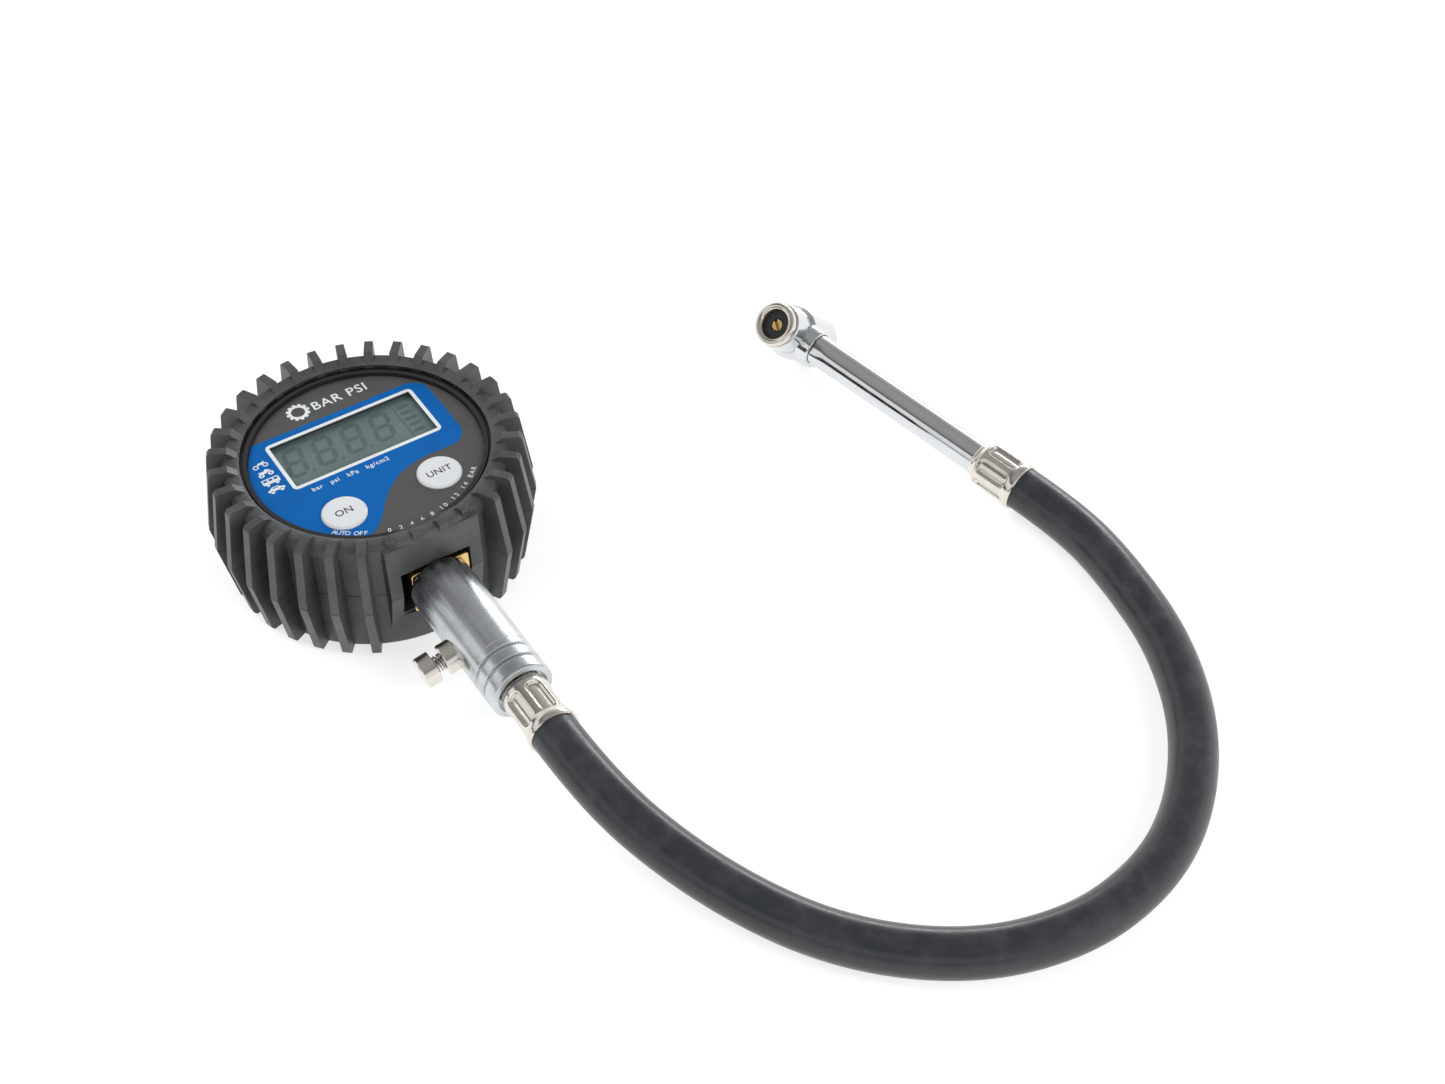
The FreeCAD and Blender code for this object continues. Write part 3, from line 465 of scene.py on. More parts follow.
MATERIALS = {
    "boot_rubber": boot_rubber(),
    "hose_rubber": hose_rubber(),
    "zinc_steel": zinc_steel(),
    "display_glass": display_glass(),
    "window_clear": clear_window(),
    "case_plastic": finish_of("case_plastic", (0.014, 0.014, 0.015), 0.28, grain=0.5 * MM,
                              grain_depth=0.004 * MM),
    "face_print": finish_of("face_print", (0.062, 0.060, 0.060), 0.42, mottle=0.06,
                            grain=0.22 * MM, grain_depth=0.012 * MM),
    "button_white": finish_of("button_white", (0.58, 0.60, 0.61), 0.36, mottle=0.03,
                              grain_depth=0.004 * MM),
    "board_green": finish_of("board_green", (0.02, 0.12, 0.05), 0.4),
    "silicone": finish_of("silicone", (0.6, 0.6, 0.58), 0.5),
    "seal_rubber": finish_of("seal_rubber", (0.012, 0.012, 0.012), 0.42, grain=0.25 * MM),
    "cell_steel": finish_of("cell_steel", (0.6, 0.6, 0.6), 0.3, metal=1.0),
    "spring_steel": finish_of("spring_steel", (0.55, 0.53, 0.5), 0.22, metal=1.0),
    "screw_steel": finish_of("screw_steel", (0.45, 0.45, 0.45), 0.35, metal=1.0),
    "brass": finish_of("brass", (0.78, 0.54, 0.23), 0.24, metal=1.0, mottle=0.18,
                       patch=2.5 * MM, grain=0.4 * MM, grain_depth=0.006 * MM),
    "nickel": finish_of("nickel", (0.73, 0.69, 0.63), 0.15, metal=1.0, mottle=0.07,
                        patch=4 * MM, uneven=0.04, grain=1.5 * MM, grain_depth=0.012 * MM),
    "chrome": finish_of("chrome", (0.67, 0.69, 0.70), 0.07, metal=1.0, mottle=0.04,
                        patch=9 * MM, uneven=0.03, grain=6 * MM, grain_depth=0.03 * MM),
}
BLUE = finish_of("print_blue", (0.001, 0.094, 0.335), 0.5, mottle=0.05, grain=0.22 * MM,
                 grain_depth=0.006 * MM, shine=0.12)
WHITE = finish_of("print_white", (0.62, 0.65, 0.67), 0.45, mottle=0.05)
DARK_PRINT = finish_of("print_dark", (0.03, 0.03, 0.035), 0.5, mottle=0.1)
GHOST = finish_of("lcd_ghost", (0.112, 0.160, 0.158), 0.35, mottle=0.05)

# every CAD node gets its slot's material, whether a piece replaces it or not
for row in frame["record"]["subparts"]:
    mesh = nodes[row["node"]].data
    mesh.materials.clear()
    mesh.materials.append(MATERIALS[row["material_slot"]])


def dress(piece, body="gauge"):
    """Says which body a piece rides on."""
    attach(piece, body)
    return piece


# ---------------------------------------------------------------- hose

def hose_line():
    """The hose's middle line as one NURBS spline, as thick as the hose."""
    data = bpy.data.curves.new("hose_line", "CURVE")
    data.dimensions = "3D"
    spline = data.splines.new("NURBS")
    spline.points.add(len(HOSE_ROUTE) - 1)
    for point, spot in zip(spline.points, HOSE_ROUTE):
        point.co = (*spot, 1)
    spline.order_u = 3
    spline.use_endpoint_u = True
    spline.use_smooth = True
    data.resolution_u = 16
    data.bevel_depth = HOSE_RADIUS
    data.bevel_resolution = 12
    data.use_fill_caps = True
    return data


hose = new_piece("hose_tube", hose_line(), MATERIALS["hose_rubber"])
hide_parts("hose")
dress(hose)


# ---------------------------------------------------------------- ferrules

def ferrule(name, node, where, foot, tail, middle):
    """A crimped sleeve with oblong dimples pressed into it and a flared mouth.  It starts at
    height foot with the radius tail, and its dimples are centred on height middle."""
    body, mouth = 5.85 * MM, 6.35 * MM
    bore, lip_bore, tail_bore = 4.5 * MM, 5.7 * MM, 4.25 * MM
    dimples, long, wide = 6, 9.4 * MM, 4.6 * MM
    corner, slope, deep = 1.7 * MM, 0.6 * MM, 1.05 * MM
    edge = 0.3 * MM
    around, along = 288, 110
    pitch = 2 * math.pi / dimples

    def outside(z):
        """The sleeve's radius before the dimples, from its neck to its rolled mouth."""
        neck = smooth_step(z, foot, foot + 0.5 * MM)
        swell = smooth_step(z, foot + 0.7 * MM, foot + 2.4 * MM)
        flare = smooth_step(z, 12.0 * MM, 14.4 * MM)
        rolled = smooth_step(z, FERRULE_LONG - 0.5 * MM, FERRULE_LONG)
        return (tail - edge * (1 - neck) + (body - tail) * swell
                + (mouth - body) * flare - edge * rolled ** 2)

    def pressed(angle, z):
        """How far the dimple nearest to an angle is pressed in."""
        own = (angle + pitch / 2) % pitch - pitch / 2
        across = max(abs(own * body) - (wide / 2 - corner), 0.0)
        past = max(abs(z - middle) - (long / 2 - corner), 0.0)
        return deep * smooth_step(corner - math.hypot(across, past), 0.0, slope)

    shape = bmesh.new()
    heights = [foot + (FERRULE_LONG - foot) * i / along for i in range(along + 1)]
    rows = [add_ring(shape, where, lambda angle: outside(z) - pressed(angle, z), z, around)
            for z in heights]
    rows += [add_ring(shape, where, lambda angle: r, z, around)
             for r, z in ((lip_bore, FERRULE_LONG), (bore, FERRULE_LONG - 2 * MM),
                          (bore, foot + 1 * MM), (tail_bore, foot + 0.6 * MM),
                          (tail_bore, foot))]
    add_skin(shape, rows)
    piece = from_bmesh(name, shape, MATERIALS["nickel"], math.radians(50))
    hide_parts(node)
    return dress(piece)


ferrule_a = ferrule("ferrule_pressed_gauge", "ferrule_gauge_end", FERRULE_A,
                    foot=0.0, tail=5.4 * MM, middle=7.9 * MM)
ferrule_b = ferrule("ferrule_pressed_chuck", "ferrule_chuck_end", FERRULE_B,
                    foot=1.5 * MM, tail=4.75 * MM, middle=8.6 * MM)


# ---------------------------------------------------------------- turned metal parts

def held(outline):
    """The outline with a point close to both ends of every long side, so that its rounded
    edges don't drag the shading of the sides."""
    gap = 0.12 * MM
    points = []
    for (r0, z0), (r1, z1) in zip(outline, outline[1:] + outline[:1]):
        points.append((r0, z0))
        long = math.hypot(r1 - r0, z1 - z0)
        if long > 4 * gap:
            for t in (gap / long, 1 - gap / long):
                points.append((r0 + (r1 - r0) * t, z0 + (z1 - z0) * t))
    return points


def turned_piece(name, node, outline, where, slot_name, steps=144):
    """A turned piece in place of a node."""
    shape = bmesh.new()
    add_turned(shape, held(outline), steps, where)
    piece = from_bmesh(name, shape, MATERIALS[slot_name], math.radians(40))
    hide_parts(node)
    dress(piece)


def stem_outline():
    """The stem from the brass block to its recessed end, with one faint and two deep ring
    grooves."""
    outline = [(5.0, 35.2), (7.5, 35.2), (7.8, 35.4), (7.9, 35.8),
               (7.9, 64.9), (7.78, 65.0), (7.78, 65.2), (7.9, 65.3)]
    for groove in (67.15, 70.95):
        outline += [(7.9, groove - 0.3), (7.82, groove - 0.22), (7.42, groove - 0.1),
                    (7.42, groove + 0.15), (7.8, groove + 0.8), (7.9, groove + 1.0)]
    outline += [(7.9, 74.9), (7.84, 75.15), (7.66, 75.35), (7.4, 75.5), (6.5, 75.7),
                (6.28, 75.6), (6.2, 75.3), (6.2, 74.0), (5.0, 74.0)]
    return mm(outline)


def cap_outline():
    """A rolled rim round a chuck mouth."""
    return mm([(4.85, 8.4), (5.6, 8.4), (5.62, 9.1), (5.8, 9.3), (5.86, 9.6), (5.86, 10.2),
               (5.78, 10.65), (5.56, 11.0), (5.2, 11.18), (4.8, 11.2), (4.4, 11.08),
               (4.1, 10.82), (3.9, 10.5), (3.8, 10.1), (3.8, 9.3), (4.85, 9.2)])


def chuck_body():
    """The stepped chrome body: a nose for each mouth, a collar, a barrel and the tube's boss."""
    outline = mm([(4.95, 8.8), (5.9, 8.8), (6.1, 8.65), (6.2, 8.4), (6.2, 2.0), (7.1, 0.9),
                  (7.3, 0.6), (7.3, -1.5), (7.2, -1.75), (7.0, -1.9), (7.0, -12.6),
                  (6.9, -12.85), (6.6, -13.0), (4.95, -13.0)])
    boss = mm([(4.25, 5.0), (5.1, 5.0), (5.1, 8.4), (4.98, 8.68), (4.7, 8.8), (4.25, 8.8)])
    shape = bmesh.new()
    add_turned(shape, held(outline), 192, HEAD)
    add_turned(shape, held(boss), 144, TUBE_FROM_HEAD)
    piece = from_bmesh("chuck_body_turned", shape, MATERIALS["chrome"], math.radians(35))
    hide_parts("chuck_body")
    dress(piece)


def dented_tube():
    """The chrome tube, pinched on one side where it enters the chuck."""
    radius, bore, start = 4.2 * MM, 3.2 * MM, 7.0 * MM
    deepest, pinch_full, pinch_over, rows_stop = 0.4 * MM, 8.8 * MM, 14.0 * MM, 15.0 * MM
    flat_to, dent_to = 0.1, 0.62                        # radians from the pinch's middle
    around, along = 160, 60
    shape = bmesh.new()

    def dented(angle, z):
        deep = deepest * (1 - smooth_step(z, pinch_full, pinch_over))
        from_middle = min(angle, 2 * math.pi - angle)
        return radius - deep * (1 - smooth_step(from_middle, flat_to, dent_to))

    heights = [start + (rows_stop - start) * i / along for i in range(along)] + [TUBE_LONG]
    rows = [add_ring(shape, TUBE_FROM_HEAD, lambda angle: dented(angle, z), z, around)
            for z in heights]
    rows += [add_ring(shape, TUBE_FROM_HEAD, lambda angle: bore, z, around)
             for z in (TUBE_LONG, start)]
    add_skin(shape, rows)
    tube = from_bmesh("chuck_tube_pinched", shape, MATERIALS["chrome"], math.radians(40))
    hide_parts("chuck_tube")
    dress(tube)


def slotted_pin(name, node, where, foot, top):
    """A brass pin whose head is slotted across."""
    radius, half_slot, deep = 1.55 * MM, 0.36 * MM, 0.9 * MM
    shape = bmesh.new()
    add_prism(shape, circle_loop(0, 0, radius, 48), foot, top - deep, where)
    turn = math.degrees(math.asin(half_slot / radius))
    for first in (0, 180):
        half = arc_points(0, 0, radius, first + turn, first + 180 - turn, 24)
        add_prism(shape, half, top - deep, top, where)
    pin = from_bmesh(name, shape, MATERIALS["brass"])
    soften(pin, 0.12 * MM, 2)
    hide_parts(node)
    dress(pin, node)


def brass_block():
    """The square block behind the stem, with broken corners."""
    left, right, bottom, top, cut = -6.8, 8.4, 10.9, 23.3, 0.5
    outline = mm([(left + cut, bottom), (right - cut, bottom), (right, bottom + cut),
                  (right, top - cut), (right - cut, top), (left + cut, top),
                  (left, top - cut), (left, bottom + cut)])
    back, front = 28.8 * MM, 34.9 * MM
    forward = Matrix.Rotation(math.pi / 2, 4, "X")
    shape = bmesh.new()
    add_prism(shape, outline, back, front, forward)
    block = from_bmesh("brass_block", shape, MATERIALS["brass"])
    soften(block, 0.25 * MM)
    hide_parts("brass_fitting")
    dress(block)


def boss_painted_shadow():
    """A dark ring of painted shadow where the tube enters the chuck's boss."""
    shape = bmesh.new()
    add_turned(shape, mm([(3.8, 8.3), (4.34, 8.3), (4.34, 8.83), (3.8, 8.83)]), 96,
               TUBE_FROM_HEAD)
    # this dark seal-rubber ring is a painted shadow, standing for the shade at the boss's end
    gap = from_bmesh("boss_painted_shadow", shape, MATERIALS["seal_rubber"])
    dress(gap)


# the rear mouth is this much further from the middle of the head than the front one
REAR_FURTHER = 3.1 * MM

turned_piece("stem_turned", "stem", stem_outline(), STEM, "zinc_steel", 192)
turned_piece("front_rim", "front_cap", cap_outline(), HEAD, "nickel")
turned_piece("rear_rim", "rear_cap", [(r, z + REAR_FURTHER) for r, z in cap_outline()],
             HEAD_BACK, "nickel")
slotted_pin("front_pin_slotted", "front_pin", HEAD, 5.0 * MM, 9.2 * MM)
slotted_pin("rear_pin_slotted", "rear_pin", HEAD_BACK, 5.0 * MM + REAR_FURTHER,
            9.2 * MM + REAR_FURTHER)
brass_block()
chuck_body()
dented_tube()
# the dark ring at the boss's end is painted shadow
boss_painted_shadow()


# ---------------------------------------------------------------- rubber boot

FINS = 32
FIN_HALF = 1.2 * MM
FIN_REACH = 40 * MM                      # about a fin's tip, to tell which fins stand at the boss
NOTCH_HALF = 14.2 * MM
BOSS_HALF, PORT_HALF = 12.3 * MM, 9.1 * MM
BOSS_BACK, BOSS_FRONT, BOSS_FOOT, BOSS_TOP_FRONT = -28.5 * MM, -34.5 * MM, -30.6 * MM, -34.0 * MM
PORT_LOW, PORT_HIGH = 10.4 * MM, 24.4 * MM
BOSS_TOP = 33.0 * MM
HALF_GAP = 0.06 * MM
# the opening cut through the boot's ring behind the port
OPENING_LOW = Vector((-10.4 * MM, -36 * MM, PORT_LOW - 0.8 * MM))
OPENING_HIGH = Vector((10.4 * MM, -24 * MM, PORT_HIGH + 0.8 * MM))


def boss_front(z):
    """The boss's flat face: it leans back below the seam and a little above it."""
    if z < SEAM:
        return BOSS_FOOT + (BOSS_FRONT - BOSS_FOOT) * z / SEAM
    return BOSS_FRONT + (BOSS_TOP_FRONT - BOSS_FRONT) * (z - SEAM) / (BOSS_TOP - SEAM)


def add_boss(shape, heights):
    """One half of the flat boss, a plate with the port's half left out of it."""
    across = [-BOSS_HALF, -PORT_HALF, PORT_HALF, BOSS_HALF]
    middle, close = 1, 1e-9

    def is_solid(i, j):
        if not (0 <= i < len(across) - 1 and 0 <= j < len(heights) - 1):
            return False
        return not (i == middle and PORT_LOW - close <= heights[j]
                    and heights[j + 1] <= PORT_HIGH + close)

    def corner(i, j, deep):
        z = heights[j]
        return shape.verts.new((across[i], BOSS_BACK if deep else boss_front(z), z))

    for i in range(len(across) - 1):
        for j in range(len(heights) - 1):
            if not is_solid(i, j):
                continue
            cell = ((i, j), (i + 1, j), (i + 1, j + 1), (i, j + 1))
            shape.faces.new([corner(*c, False) for c in cell])
            shape.faces.new([corner(*c, True) for c in reversed(cell)])
            sides = (((i, j), (i + 1, j), (i, j - 1)), ((i + 1, j), (i + 1, j + 1), (i + 1, j)),
                     ((i + 1, j + 1), (i, j + 1), (i, j + 1)), ((i, j + 1), (i, j), (i - 1, j)))
            for first, second, beside in sides:
                if not is_solid(*beside):
                    shape.faces.new([corner(*first, False), corner(*first, True),
                                     corner(*second, True), corner(*second, False)])


def boot_half(name, node, ring_outline, fin_corners, stub_corners, boss_heights):
    """A ring with fins all round it and a boss at the port; the fins over the boss are stubs."""
    ring_shape = bmesh.new()
    add_turned(ring_shape, ring_outline, steps=180)
    ring = from_bmesh(name + "_ring", ring_shape, MATERIALS["boot_rubber"])
    carve_box(ring, OPENING_LOW, OPENING_HIGH)
    shape = bmesh.new()
    shape.from_mesh(ring.data)
    bpy.data.objects.remove(ring)
    for number in range(FINS):
        angle = 2 * math.pi * (number + 0.5) / FINS
        where = Matrix.Rotation(angle, 4, "Z")
        at_boss = math.sin(angle) < 0 and abs(math.cos(angle)) * FIN_REACH < NOTCH_HALF
        if not at_boss:
            add_slab(shape, fin_corners, FIN_HALF, where, taper=0.86)
        elif stub_corners:
            add_slab(shape, stub_corners, FIN_HALF, where)
    add_boss(shape, boss_heights)
    boot = from_bmesh(name, shape, MATERIALS["boot_rubber"])
    soften(boot, 0.42 * MM)
    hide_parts(node)
    dress(boot)


# the outlines are (radius, height) in millimetres, with the seam's two sides at above and below
above, below = (SEAM + HALF_GAP) / MM, (SEAM - HALF_GAP) / MM
boot_half(
    "boot_upper_skin", "boot_upper",
    mm([(31.15, above), (34.0, above), (34.0, 29.8), (34.45, 30.3), (34.45, 32.9),
        (33.6, 34.0), (31.3, 34.0), (30.3, 33.55), (30.5, 33.1), (31.15, 32.45)]),
    mm([(31.5, above), (40.3, above), (38.0, 34.7), (37.3, 35.5), (33.1, 35.5), (30.7, 33.7)]),
    mm([(31.5, 32.5), (34.3, 32.5), (34.3, 34.9), (33.8, 35.4), (32.8, 35.4), (30.7, 33.7)]),
    [SEAM + HALF_GAP, PORT_HIGH, BOSS_TOP])
boot_half(
    "boot_lower_skin", "boot_lower",
    mm([(0, 0.5), (25.0, 0.5), (25.8, 0), (33.5, 0), (34.0, 1.0), (34.0, below), (31.15, below),
        (31.15, 2.2), (0, 2.2)]),
    mm([(31.5, 0), (36.4, 0), (37.1, 0.9), (40.3, below), (31.5, below)]), None,
    [0.0, PORT_LOW, SEAM - HALF_GAP])


# ---------------------------------------------------------------- dial print

def flat_piece(name, loops, z, thick, material):
    """A thin flat shape standing on height z; loops inside others are holes."""
    data = bpy.data.curves.new(name, "CURVE")
    data.dimensions = "2D"
    data.fill_mode = "BOTH"
    data.extrude = thick / 2
    for loop in loops:
        spline = data.splines.new("POLY")
        spline.points.add(len(loop) - 1)
        spline.use_cyclic_u = True
        for point, (x, y) in zip(spline.points, loop):
            point.co = (x, y, 0, 1)
    return as_mesh(name, data, Matrix.Translation((0, 0, z + thick / 2)), material)


def as_mesh(name, data, where, material):
    """A curve or text as a mesh piece of its own."""
    holder = bpy.data.objects.new("holder", data)
    bpy.context.scene.collection.objects.link(holder)
    bpy.context.view_layer.update()
    mesh = bpy.data.meshes.new_from_object(holder.evaluated_get(
        bpy.context.evaluated_depsgraph_get()))
    bpy.data.objects.remove(holder)
    mesh.transform(where)
    mesh.name = name
    return new_piece(name, mesh, material)


CAPITAL = 0.7                            # a capital's height as a part of the font's size
BOLDER = 0.012                           # how far the strokes are widened, by the height


def words(name, text, height, x, y, z, thick, material, spin=0.0, spacing=1.0):
    """Plain lettering centred on x, y and standing on height z."""
    data = bpy.data.curves.new(name, "FONT")
    data.body = text
    data.size = height / CAPITAL
    data.space_character = spacing
    data.align_x = "CENTER"
    data.align_y = "CENTER"
    data.extrude = thick / 2
    data.offset = height * BOLDER
    data.resolution_u = 4
    where = Matrix.Translation((x, y, z + thick / 2)) @ Matrix.Rotation(spin, 4, "Z")
    return as_mesh(name, data, where, material)


PRINT_THICK, MARK_THICK = 0.03 * MM, 0.02 * MM
OVER_BLUE = FACE_TOP + PRINT_THICK
DISPLAY_WIDE, DISPLAY_HIGH = 38 * MM, 15.7 * MM
DISPLAY_BORDER = 0.95 * MM
BUTTON_RADIUS = 5.6 * MM
PRINT_RADIUS = FACE_RADIUS - 0.1 * MM


def display_hole():
    """The display's window in the print."""
    return round_box(DISPLAY.x, DISPLAY.y, DISPLAY_WIDE, DISPLAY_HIGH, 0.3 * MM, 2)


def blue_area():
    """The blue part of the dial: a band round the display that sweeps down to the left button."""
    top, right, bottom = 17.7 * MM, 23.9 * MM, -8.2 * MM
    corner = 5 * MM
    left = math.degrees(math.atan2(top, -math.sqrt(PRINT_RADIUS ** 2 - top ** 2)))
    end = (-12.4 * MM, -25.4 * MM)
    foot = math.degrees(math.atan2(end[1], end[0]))
    loop = arc_points(0, 0, PRINT_RADIUS, foot + 360, left, 60)
    loop += arc_points(right - corner, top - corner, corner, 90, 0)
    loop += arc_points(right - corner, bottom + corner, corner, 0, -90)
    waist = (-0.8 * MM, -13.9 * MM)
    loop += [(13 * MM, bottom)]
    loop += bezier((13 * MM, bottom), (6.5 * MM, bottom), (2.6 * MM, -10.6 * MM), waist)
    loop += bezier(waist, (-5.4 * MM, -18.3 * MM), (-6.2 * MM, -23.2 * MM), end)[:-1]
    return [loop, display_hole(), circle_loop(BUTTON.x, BUTTON.y, BUTTON_RADIUS, 48)]


dress(flat_piece("print_blue_area", blue_area(), FACE_TOP, PRINT_THICK, BLUE))

frame_loops = [round_box(DISPLAY.x, DISPLAY.y, DISPLAY_WIDE + 2 * DISPLAY_BORDER,
                         DISPLAY_HIGH + 2 * DISPLAY_BORDER, 1.3 * MM), display_hole()]
dress(flat_piece("print_display_frame", frame_loops, OVER_BLUE, PRINT_THICK, WHITE))


def vehicle_signs():
    """Four small white signs left of the display: cycle, quad, van and car."""
    x = -23.3
    loops = []

    def add_wheels(y, places, radii, steps):
        for offset in places:
            for radius in radii:
                loops.append(circle_loop((x + offset) * MM, y * MM, radius * MM, steps))

    def add_box(offset, y, wide, high, radius, steps):
        loops.append(round_box((x + offset) * MM, y * MM, wide * MM, high * MM,
                               radius * MM, steps))

    # cycle
    add_wheels(10.2, (-1.25, 1.25), (0.72, 0.42), 20)
    loops.append(mm([(-24.2, 10.5), (-23.6, 11.3), (-22.6, 11.3), (-22.2, 11.6), (-21.9, 11.4),
                     (-22.4, 10.6), (-23.2, 10.4)]))
    # quad
    add_wheels(6.9, (-1.2, 1.2), (0.7, 0.28), 20)
    loops.append(mm([(-24.9, 7.75), (-23.9, 7.3), (-23.2, 7.2), (-22.4, 7.75), (-21.7, 7.8),
                     (-22.2, 8.2), (-22.9, 8.7), (-23.5, 8.1), (-24.7, 8.2)]))
    # van
    add_box(0, 4.3, 4.4, 2.0, 0.35, 3)
    for pane in (-1.35, 0.0, 1.35):
        add_box(pane, 4.65, 1.0, 0.75, 0.1, 2)
    add_wheels(3.05, (-1.2, 1.2), (0.42,), 16)
    # car
    loops.append(mm([(-25.5, 0.55), (-25.5, 1.15), (-24.9, 1.35), (-24.2, 2.0), (-22.7, 2.0),
                     (-22.0, 1.35), (-21.2, 1.15), (-21.2, 0.55)]))
    loops.append(mm([(-24.3, 1.4), (-23.9, 1.75), (-22.9, 1.75), (-22.5, 1.4)]))
    add_wheels(0.35, (-1.25, 1.15), (0.5,), 16)
    return loops


def tyre_sign(cx, cy, radius):
    """A plain wheel with a blocky tread."""
    blocks, root, hole = 12, radius * 0.84, radius * 0.58
    loop = []
    for number in range(blocks):
        middle = 360 * number / blocks
        loop += arc_points(cx, cy, radius, middle - 7.5, middle + 7.5, 3)
        loop += arc_points(cx, cy, root, middle + 10, middle + 20, 3)
    return [loop, circle_loop(cx, cy, hole, 32)]


signs = [
    flat_piece("signs_vehicles", vehicle_signs(), OVER_BLUE, PRINT_THICK, WHITE),
    flat_piece("sign_tyre", tyre_sign(-7.4 * MM, 22.7 * MM, 3.0 * MM), FACE_TOP, PRINT_THICK,
               WHITE),
    words("sign_pressure", "BAR PSI", 2.9 * MM, 3.7 * MM, 22.4 * MM, FACE_TOP, PRINT_THICK,
          WHITE, spacing=1.1),
    words("sign_units", "bar   psi   kPa   kg/cm2", 1.35 * MM, -6.2 * MM, -4.0 * MM,
          OVER_BLUE, PRINT_THICK, WHITE, spacing=1.12),
]
dress(joined("print_signs", signs))


def along_arc(name, text, radius, first, last, z):
    """Small white lettering set letter by letter along the dial's edge, from one angle to
    another."""
    height = 1.25 * MM
    pieces = []
    for number, letter in enumerate(text):
        if letter == " ":
            continue
        angle = math.radians(first + (last - first) * number / (len(text) - 1))
        pieces.append(words(f"{name}_{number}", letter, height, radius * math.cos(angle),
                            radius * math.sin(angle), z, PRINT_THICK, WHITE,
                            spin=angle + math.pi / 2))
    return joined(name, pieces)


dress(along_arc("print_auto_off", "AUTO OFF", 26.7 * MM, 227.0, 243.0, OVER_BLUE))
dress(along_arc("print_scale", "0 2 4 6 8 10 12 14 BAR", 26.9 * MM, 255.0, 317.0, FACE_TOP))


# ---------------------------------------------------------------- display digits

def segment(cx, cy, long, thick, upright):
    """One bar of a digit, pointed at both ends."""
    half, point = long / 2, thick / 2
    bar = [(-half, 0), (-half + point, point), (half - point, point), (half, 0),
           (half - point, -point), (-half + point, -point)]
    return [(cx + (y if upright else x), cy + (x if upright else y)) for x, y in bar]


def digit(cx, cy, wide, high, thick):
    """The seven bars of a digit."""
    gap = 0.12 * MM
    side, half = wide / 2 - thick / 2, high / 2 - thick / 2
    bars = [segment(cx, cy + level * half, wide - thick - 2 * gap, thick, False)
            for level in (-1, 0, 1)]
    bars += [segment(cx + way * side, cy + level * half / 2, half - 2 * gap, thick, True)
             for way in (-1, 1) for level in (-1, 1)]
    return bars


def display_marks():
    """The unlit digits, points and bar column of the display."""
    middle = DISPLAY.y + 1.6 * MM
    digits, lean = 4, 0.16
    first_digit, digit_pitch = DISPLAY.x - 15.1 * MM, 7.8 * MM
    bars, first_bar, bar_pitch = 5, middle - 5.6 * MM, 2.35 * MM
    loops = []
    for number in range(digits):
        cx = first_digit + digit_pitch * number
        loops += digit(cx, middle, 5.4 * MM, 10.2 * MM, 1.25 * MM)
        if number < digits - 1:
            loops.append(round_box(cx + 3.5 * MM, middle - 4.8 * MM, 0.9 * MM, 0.9 * MM,
                                   0.15 * MM, 2))
    loops = [[(x + lean * (y - middle), y) for x, y in loop] for loop in loops]
    loops.append(round_box(DISPLAY.x + 13.5 * MM, middle - 1.3 * MM, 0.4 * MM, 11.4 * MM,
                           0.1 * MM, 2))
    for number in range(bars):
        loops.append(round_box(DISPLAY.x + 15.8 * MM, first_bar + bar_pitch * number,
                               3.0 * MM, 1.1 * MM, 0.1 * MM, 2))
    return loops


dress(flat_piece("lcd_marks", display_marks(), top_of("lcd_glass"), MARK_THICK, GHOST))

for node, text, height in (("on_button", "ON", 2.0 * MM), ("unit_button", "UNIT", 1.9 * MM)):
    label = words("label_" + node, text, height, middle_of(node).x, BUTTON.y, top_of(node),
                  MARK_THICK, DARK_PRINT, spacing=1.06)
    dress(label, node)


# ---------------------------------------------------------------- springs and domes

WIRE = 0.4 * MM
END_GAP = 0.02 * MM


def coil(name, node, where, radius, length, turns):
    """A round-wire spring with its first and last turns drawn close together."""
    steps, round_steps = int(turns * 28), 10
    rise = length - WIRE
    shape = bmesh.new()
    rows = []
    for i in range(steps + 1):
        t = i / steps
        angle = 2 * math.pi * turns * t
        height = WIRE / 2 + rise * smooth_step(t, 0.04, 0.96)
        out = Vector((math.cos(angle), math.sin(angle), 0))
        middle = out * radius + UP * height
        rows.append([shape.verts.new(where @ (middle + WIRE / 2 * (
            math.cos(2 * math.pi * j / round_steps) * out
            + math.sin(2 * math.pi * j / round_steps) * UP))) for j in range(round_steps)])
    add_capped(shape, rows)
    piece = from_bmesh(name, shape, MATERIALS["spring_steel"], math.radians(60))
    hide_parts(node)
    dress(piece)
    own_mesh(piece)


joints = {joint["name"]: joint for joint in frame["joints"]}


def spring_of(name, node, joint_name, radius, turns):
    """A spring between its fixed end and the piece that its joint moves."""
    joint = joints[joint_name]
    out = -Vector(joint["axis"])
    row = next(d for d in joint["deforming_nodes"] if d["node"] == node)
    anchor = Vector(row["fixed_end_m"])
    mesh = nodes[node].data
    reach = max((v.co - anchor).dot(out) for v in mesh.vertices)
    length = reach - END_GAP
    where = place(anchor + out * END_GAP, out, (0.3, 0.2, 0.9))
    coil(name, node, where, radius, length, turns)


spring_of("bleed_coil", "bleed_spring", "bleed_press", 1.95 * MM, 3.5)
spring_of("front_coil", "front_spring", "front_pin_press", 2.0 * MM, 5.5)
spring_of("rear_coil", "rear_spring", "rear_pin_press", 2.0 * MM, 5.5)

for node, joint_name in (("on_dome", "on_button_press"), ("unit_dome", "unit_button_press")):
    dome = new_piece(node + "_soft", nodes[node].data.copy(), MATERIALS["silicone"])
    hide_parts(node)
    dress(dome)
    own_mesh(dome)


# ---------------------------------------------------------------- floor, light and camera

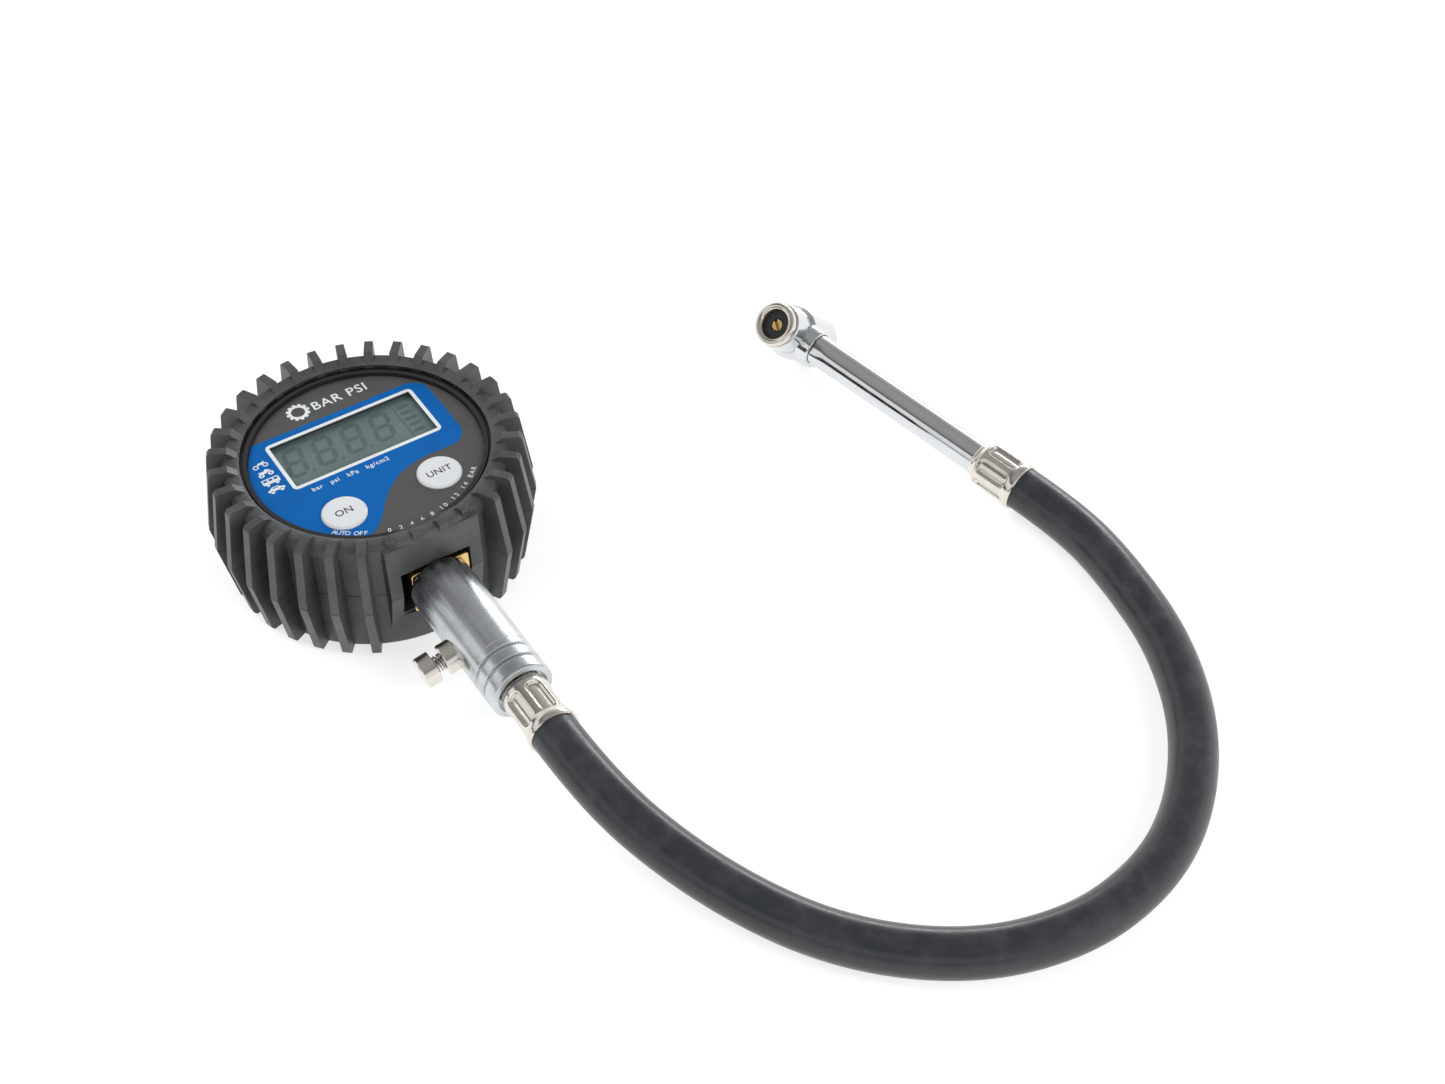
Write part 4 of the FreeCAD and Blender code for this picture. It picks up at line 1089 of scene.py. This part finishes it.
def stage_floor():
    """A plain pale floor, just below the object."""
    shape = bmesh.new()
    bmesh.ops.create_grid(shape, x_segments=1, y_segments=1, size=4.0)
    material, tree, shader, coordinates = node_set("floor")
    tone = spread(tree, noise(tree, coordinates, 0.4), 0.0, 1.0)
    tree.links.new(mixed(tree, tone, (0.40, 0.40, 0.40), (0.42, 0.42, 0.42)),
                   shader.inputs["Base Color"])
    shader.inputs["Roughness"].default_value = 0.9
    shader.inputs["Specular IOR Level"].default_value = 0.0
    shader.inputs["Emission Color"].default_value = (1, 1, 1, 1)
    shader.inputs["Emission Strength"].default_value = 0.68
    floor = from_bmesh("floor", shape, material)
    floor.location.z = -0.2 * MM


# the sky's brightness by height, from 0 at the horizon to 1 overhead
SKY_LEFT = ((0.0, 0.04), (0.09, 0.04), (0.17, 0.85), (0.55, 1.0), (0.61, 0.15), (0.70, 0.20),
            (0.80, 0.34), (1.0, 0.40))
SKY_RIGHT = ((0.0, 1.1), (0.28, 1.1), (0.44, 0.66), (0.72, 0.42), (0.80, 0.34), (1.0, 0.40))


def studio_sky():
    """Bright cards low down, with a dark gap at the horizon on the left, and grey overhead."""
    world = bpy.data.worlds.new("studio")
    bpy.context.scene.world = world
    world.use_nodes = True
    tree = world.node_tree
    background = tree.nodes["Background"]
    way = tree.nodes.new("ShaderNodeTexCoord").outputs["Generated"]
    split = tree.nodes.new("ShaderNodeSeparateXYZ")
    tree.links.new(way, split.inputs[0])
    sides = []
    for stops in (SKY_LEFT, SKY_RIGHT):
        ramp = tree.nodes.new("ShaderNodeValToRGB")
        tree.links.new(split.outputs["Z"], ramp.inputs[0])
        elements = ramp.color_ramp.elements
        while len(elements) < len(stops):
            elements.new(0.5)
        for element, (height, level) in zip(elements, stops):
            element.position = height
            element.color = (level, level, level, 1)
        sides.append(ramp.outputs[0])
    across = spread(tree, split.outputs["X"], 0.0, 1.0, -0.15, 0.15)
    tree.links.new(mixed(tree, across, *sides), background.inputs["Color"])
    background.inputs["Strength"].default_value = 1.0


def softbox(name, where, target, wide, high, power, shiny=True):
    """A rectangular lamp, seen in reflections if shiny."""
    light = bpy.data.lights.new(name, "AREA")
    light.shape = "RECTANGLE"
    light.size = wide
    light.size_y = high
    light.energy = power
    lamp = bpy.data.objects.new(name, light)
    lamp.location = where
    lamp.rotation_euler = (Vector(target) - Vector(where)).to_track_quat("-Z", "Y").to_euler()
    lamp.visible_glossy = shiny
    bpy.context.scene.collection.objects.link(lamp)


def camera():
    """The photograph's viewpoint."""
    azimuth, elevation = math.radians(-32.907), math.radians(46.11)
    data = bpy.data.cameras.new("camera")
    data.lens = 56.32
    data.sensor_width = 36.0
    data.clip_start = 0.01
    eye = bpy.data.objects.new("camera", data)
    eye.location = (-0.14229, -0.37885, 0.41193)
    ahead = Vector((-math.sin(azimuth) * math.cos(elevation),
                    math.cos(azimuth) * math.cos(elevation), -math.sin(elevation)))
    eye.rotation_euler = ahead.to_track_quat("-Z", "Y").to_euler()
    bpy.context.scene.collection.objects.link(eye)
    bpy.context.scene.camera = eye


stage_floor()
studio_sky()
OBJECT_MIDDLE = (0.05, -0.06, 0)
softbox("key", (-0.5, 0.5, 1.1), OBJECT_MIDDLE, 0.9, 0.9, 9, shiny=False)
softbox("fill", (0.35, -0.95, 0.7), OBJECT_MIDDLE, 0.8, 0.8, 9, shiny=False)
softbox("rim", (0.85, 0.55, 0.27), (0.03, -0.05, 0.01), 0.6, 0.2, 3)
camera()
bpy.context.scene.view_settings.view_transform = "Standard"
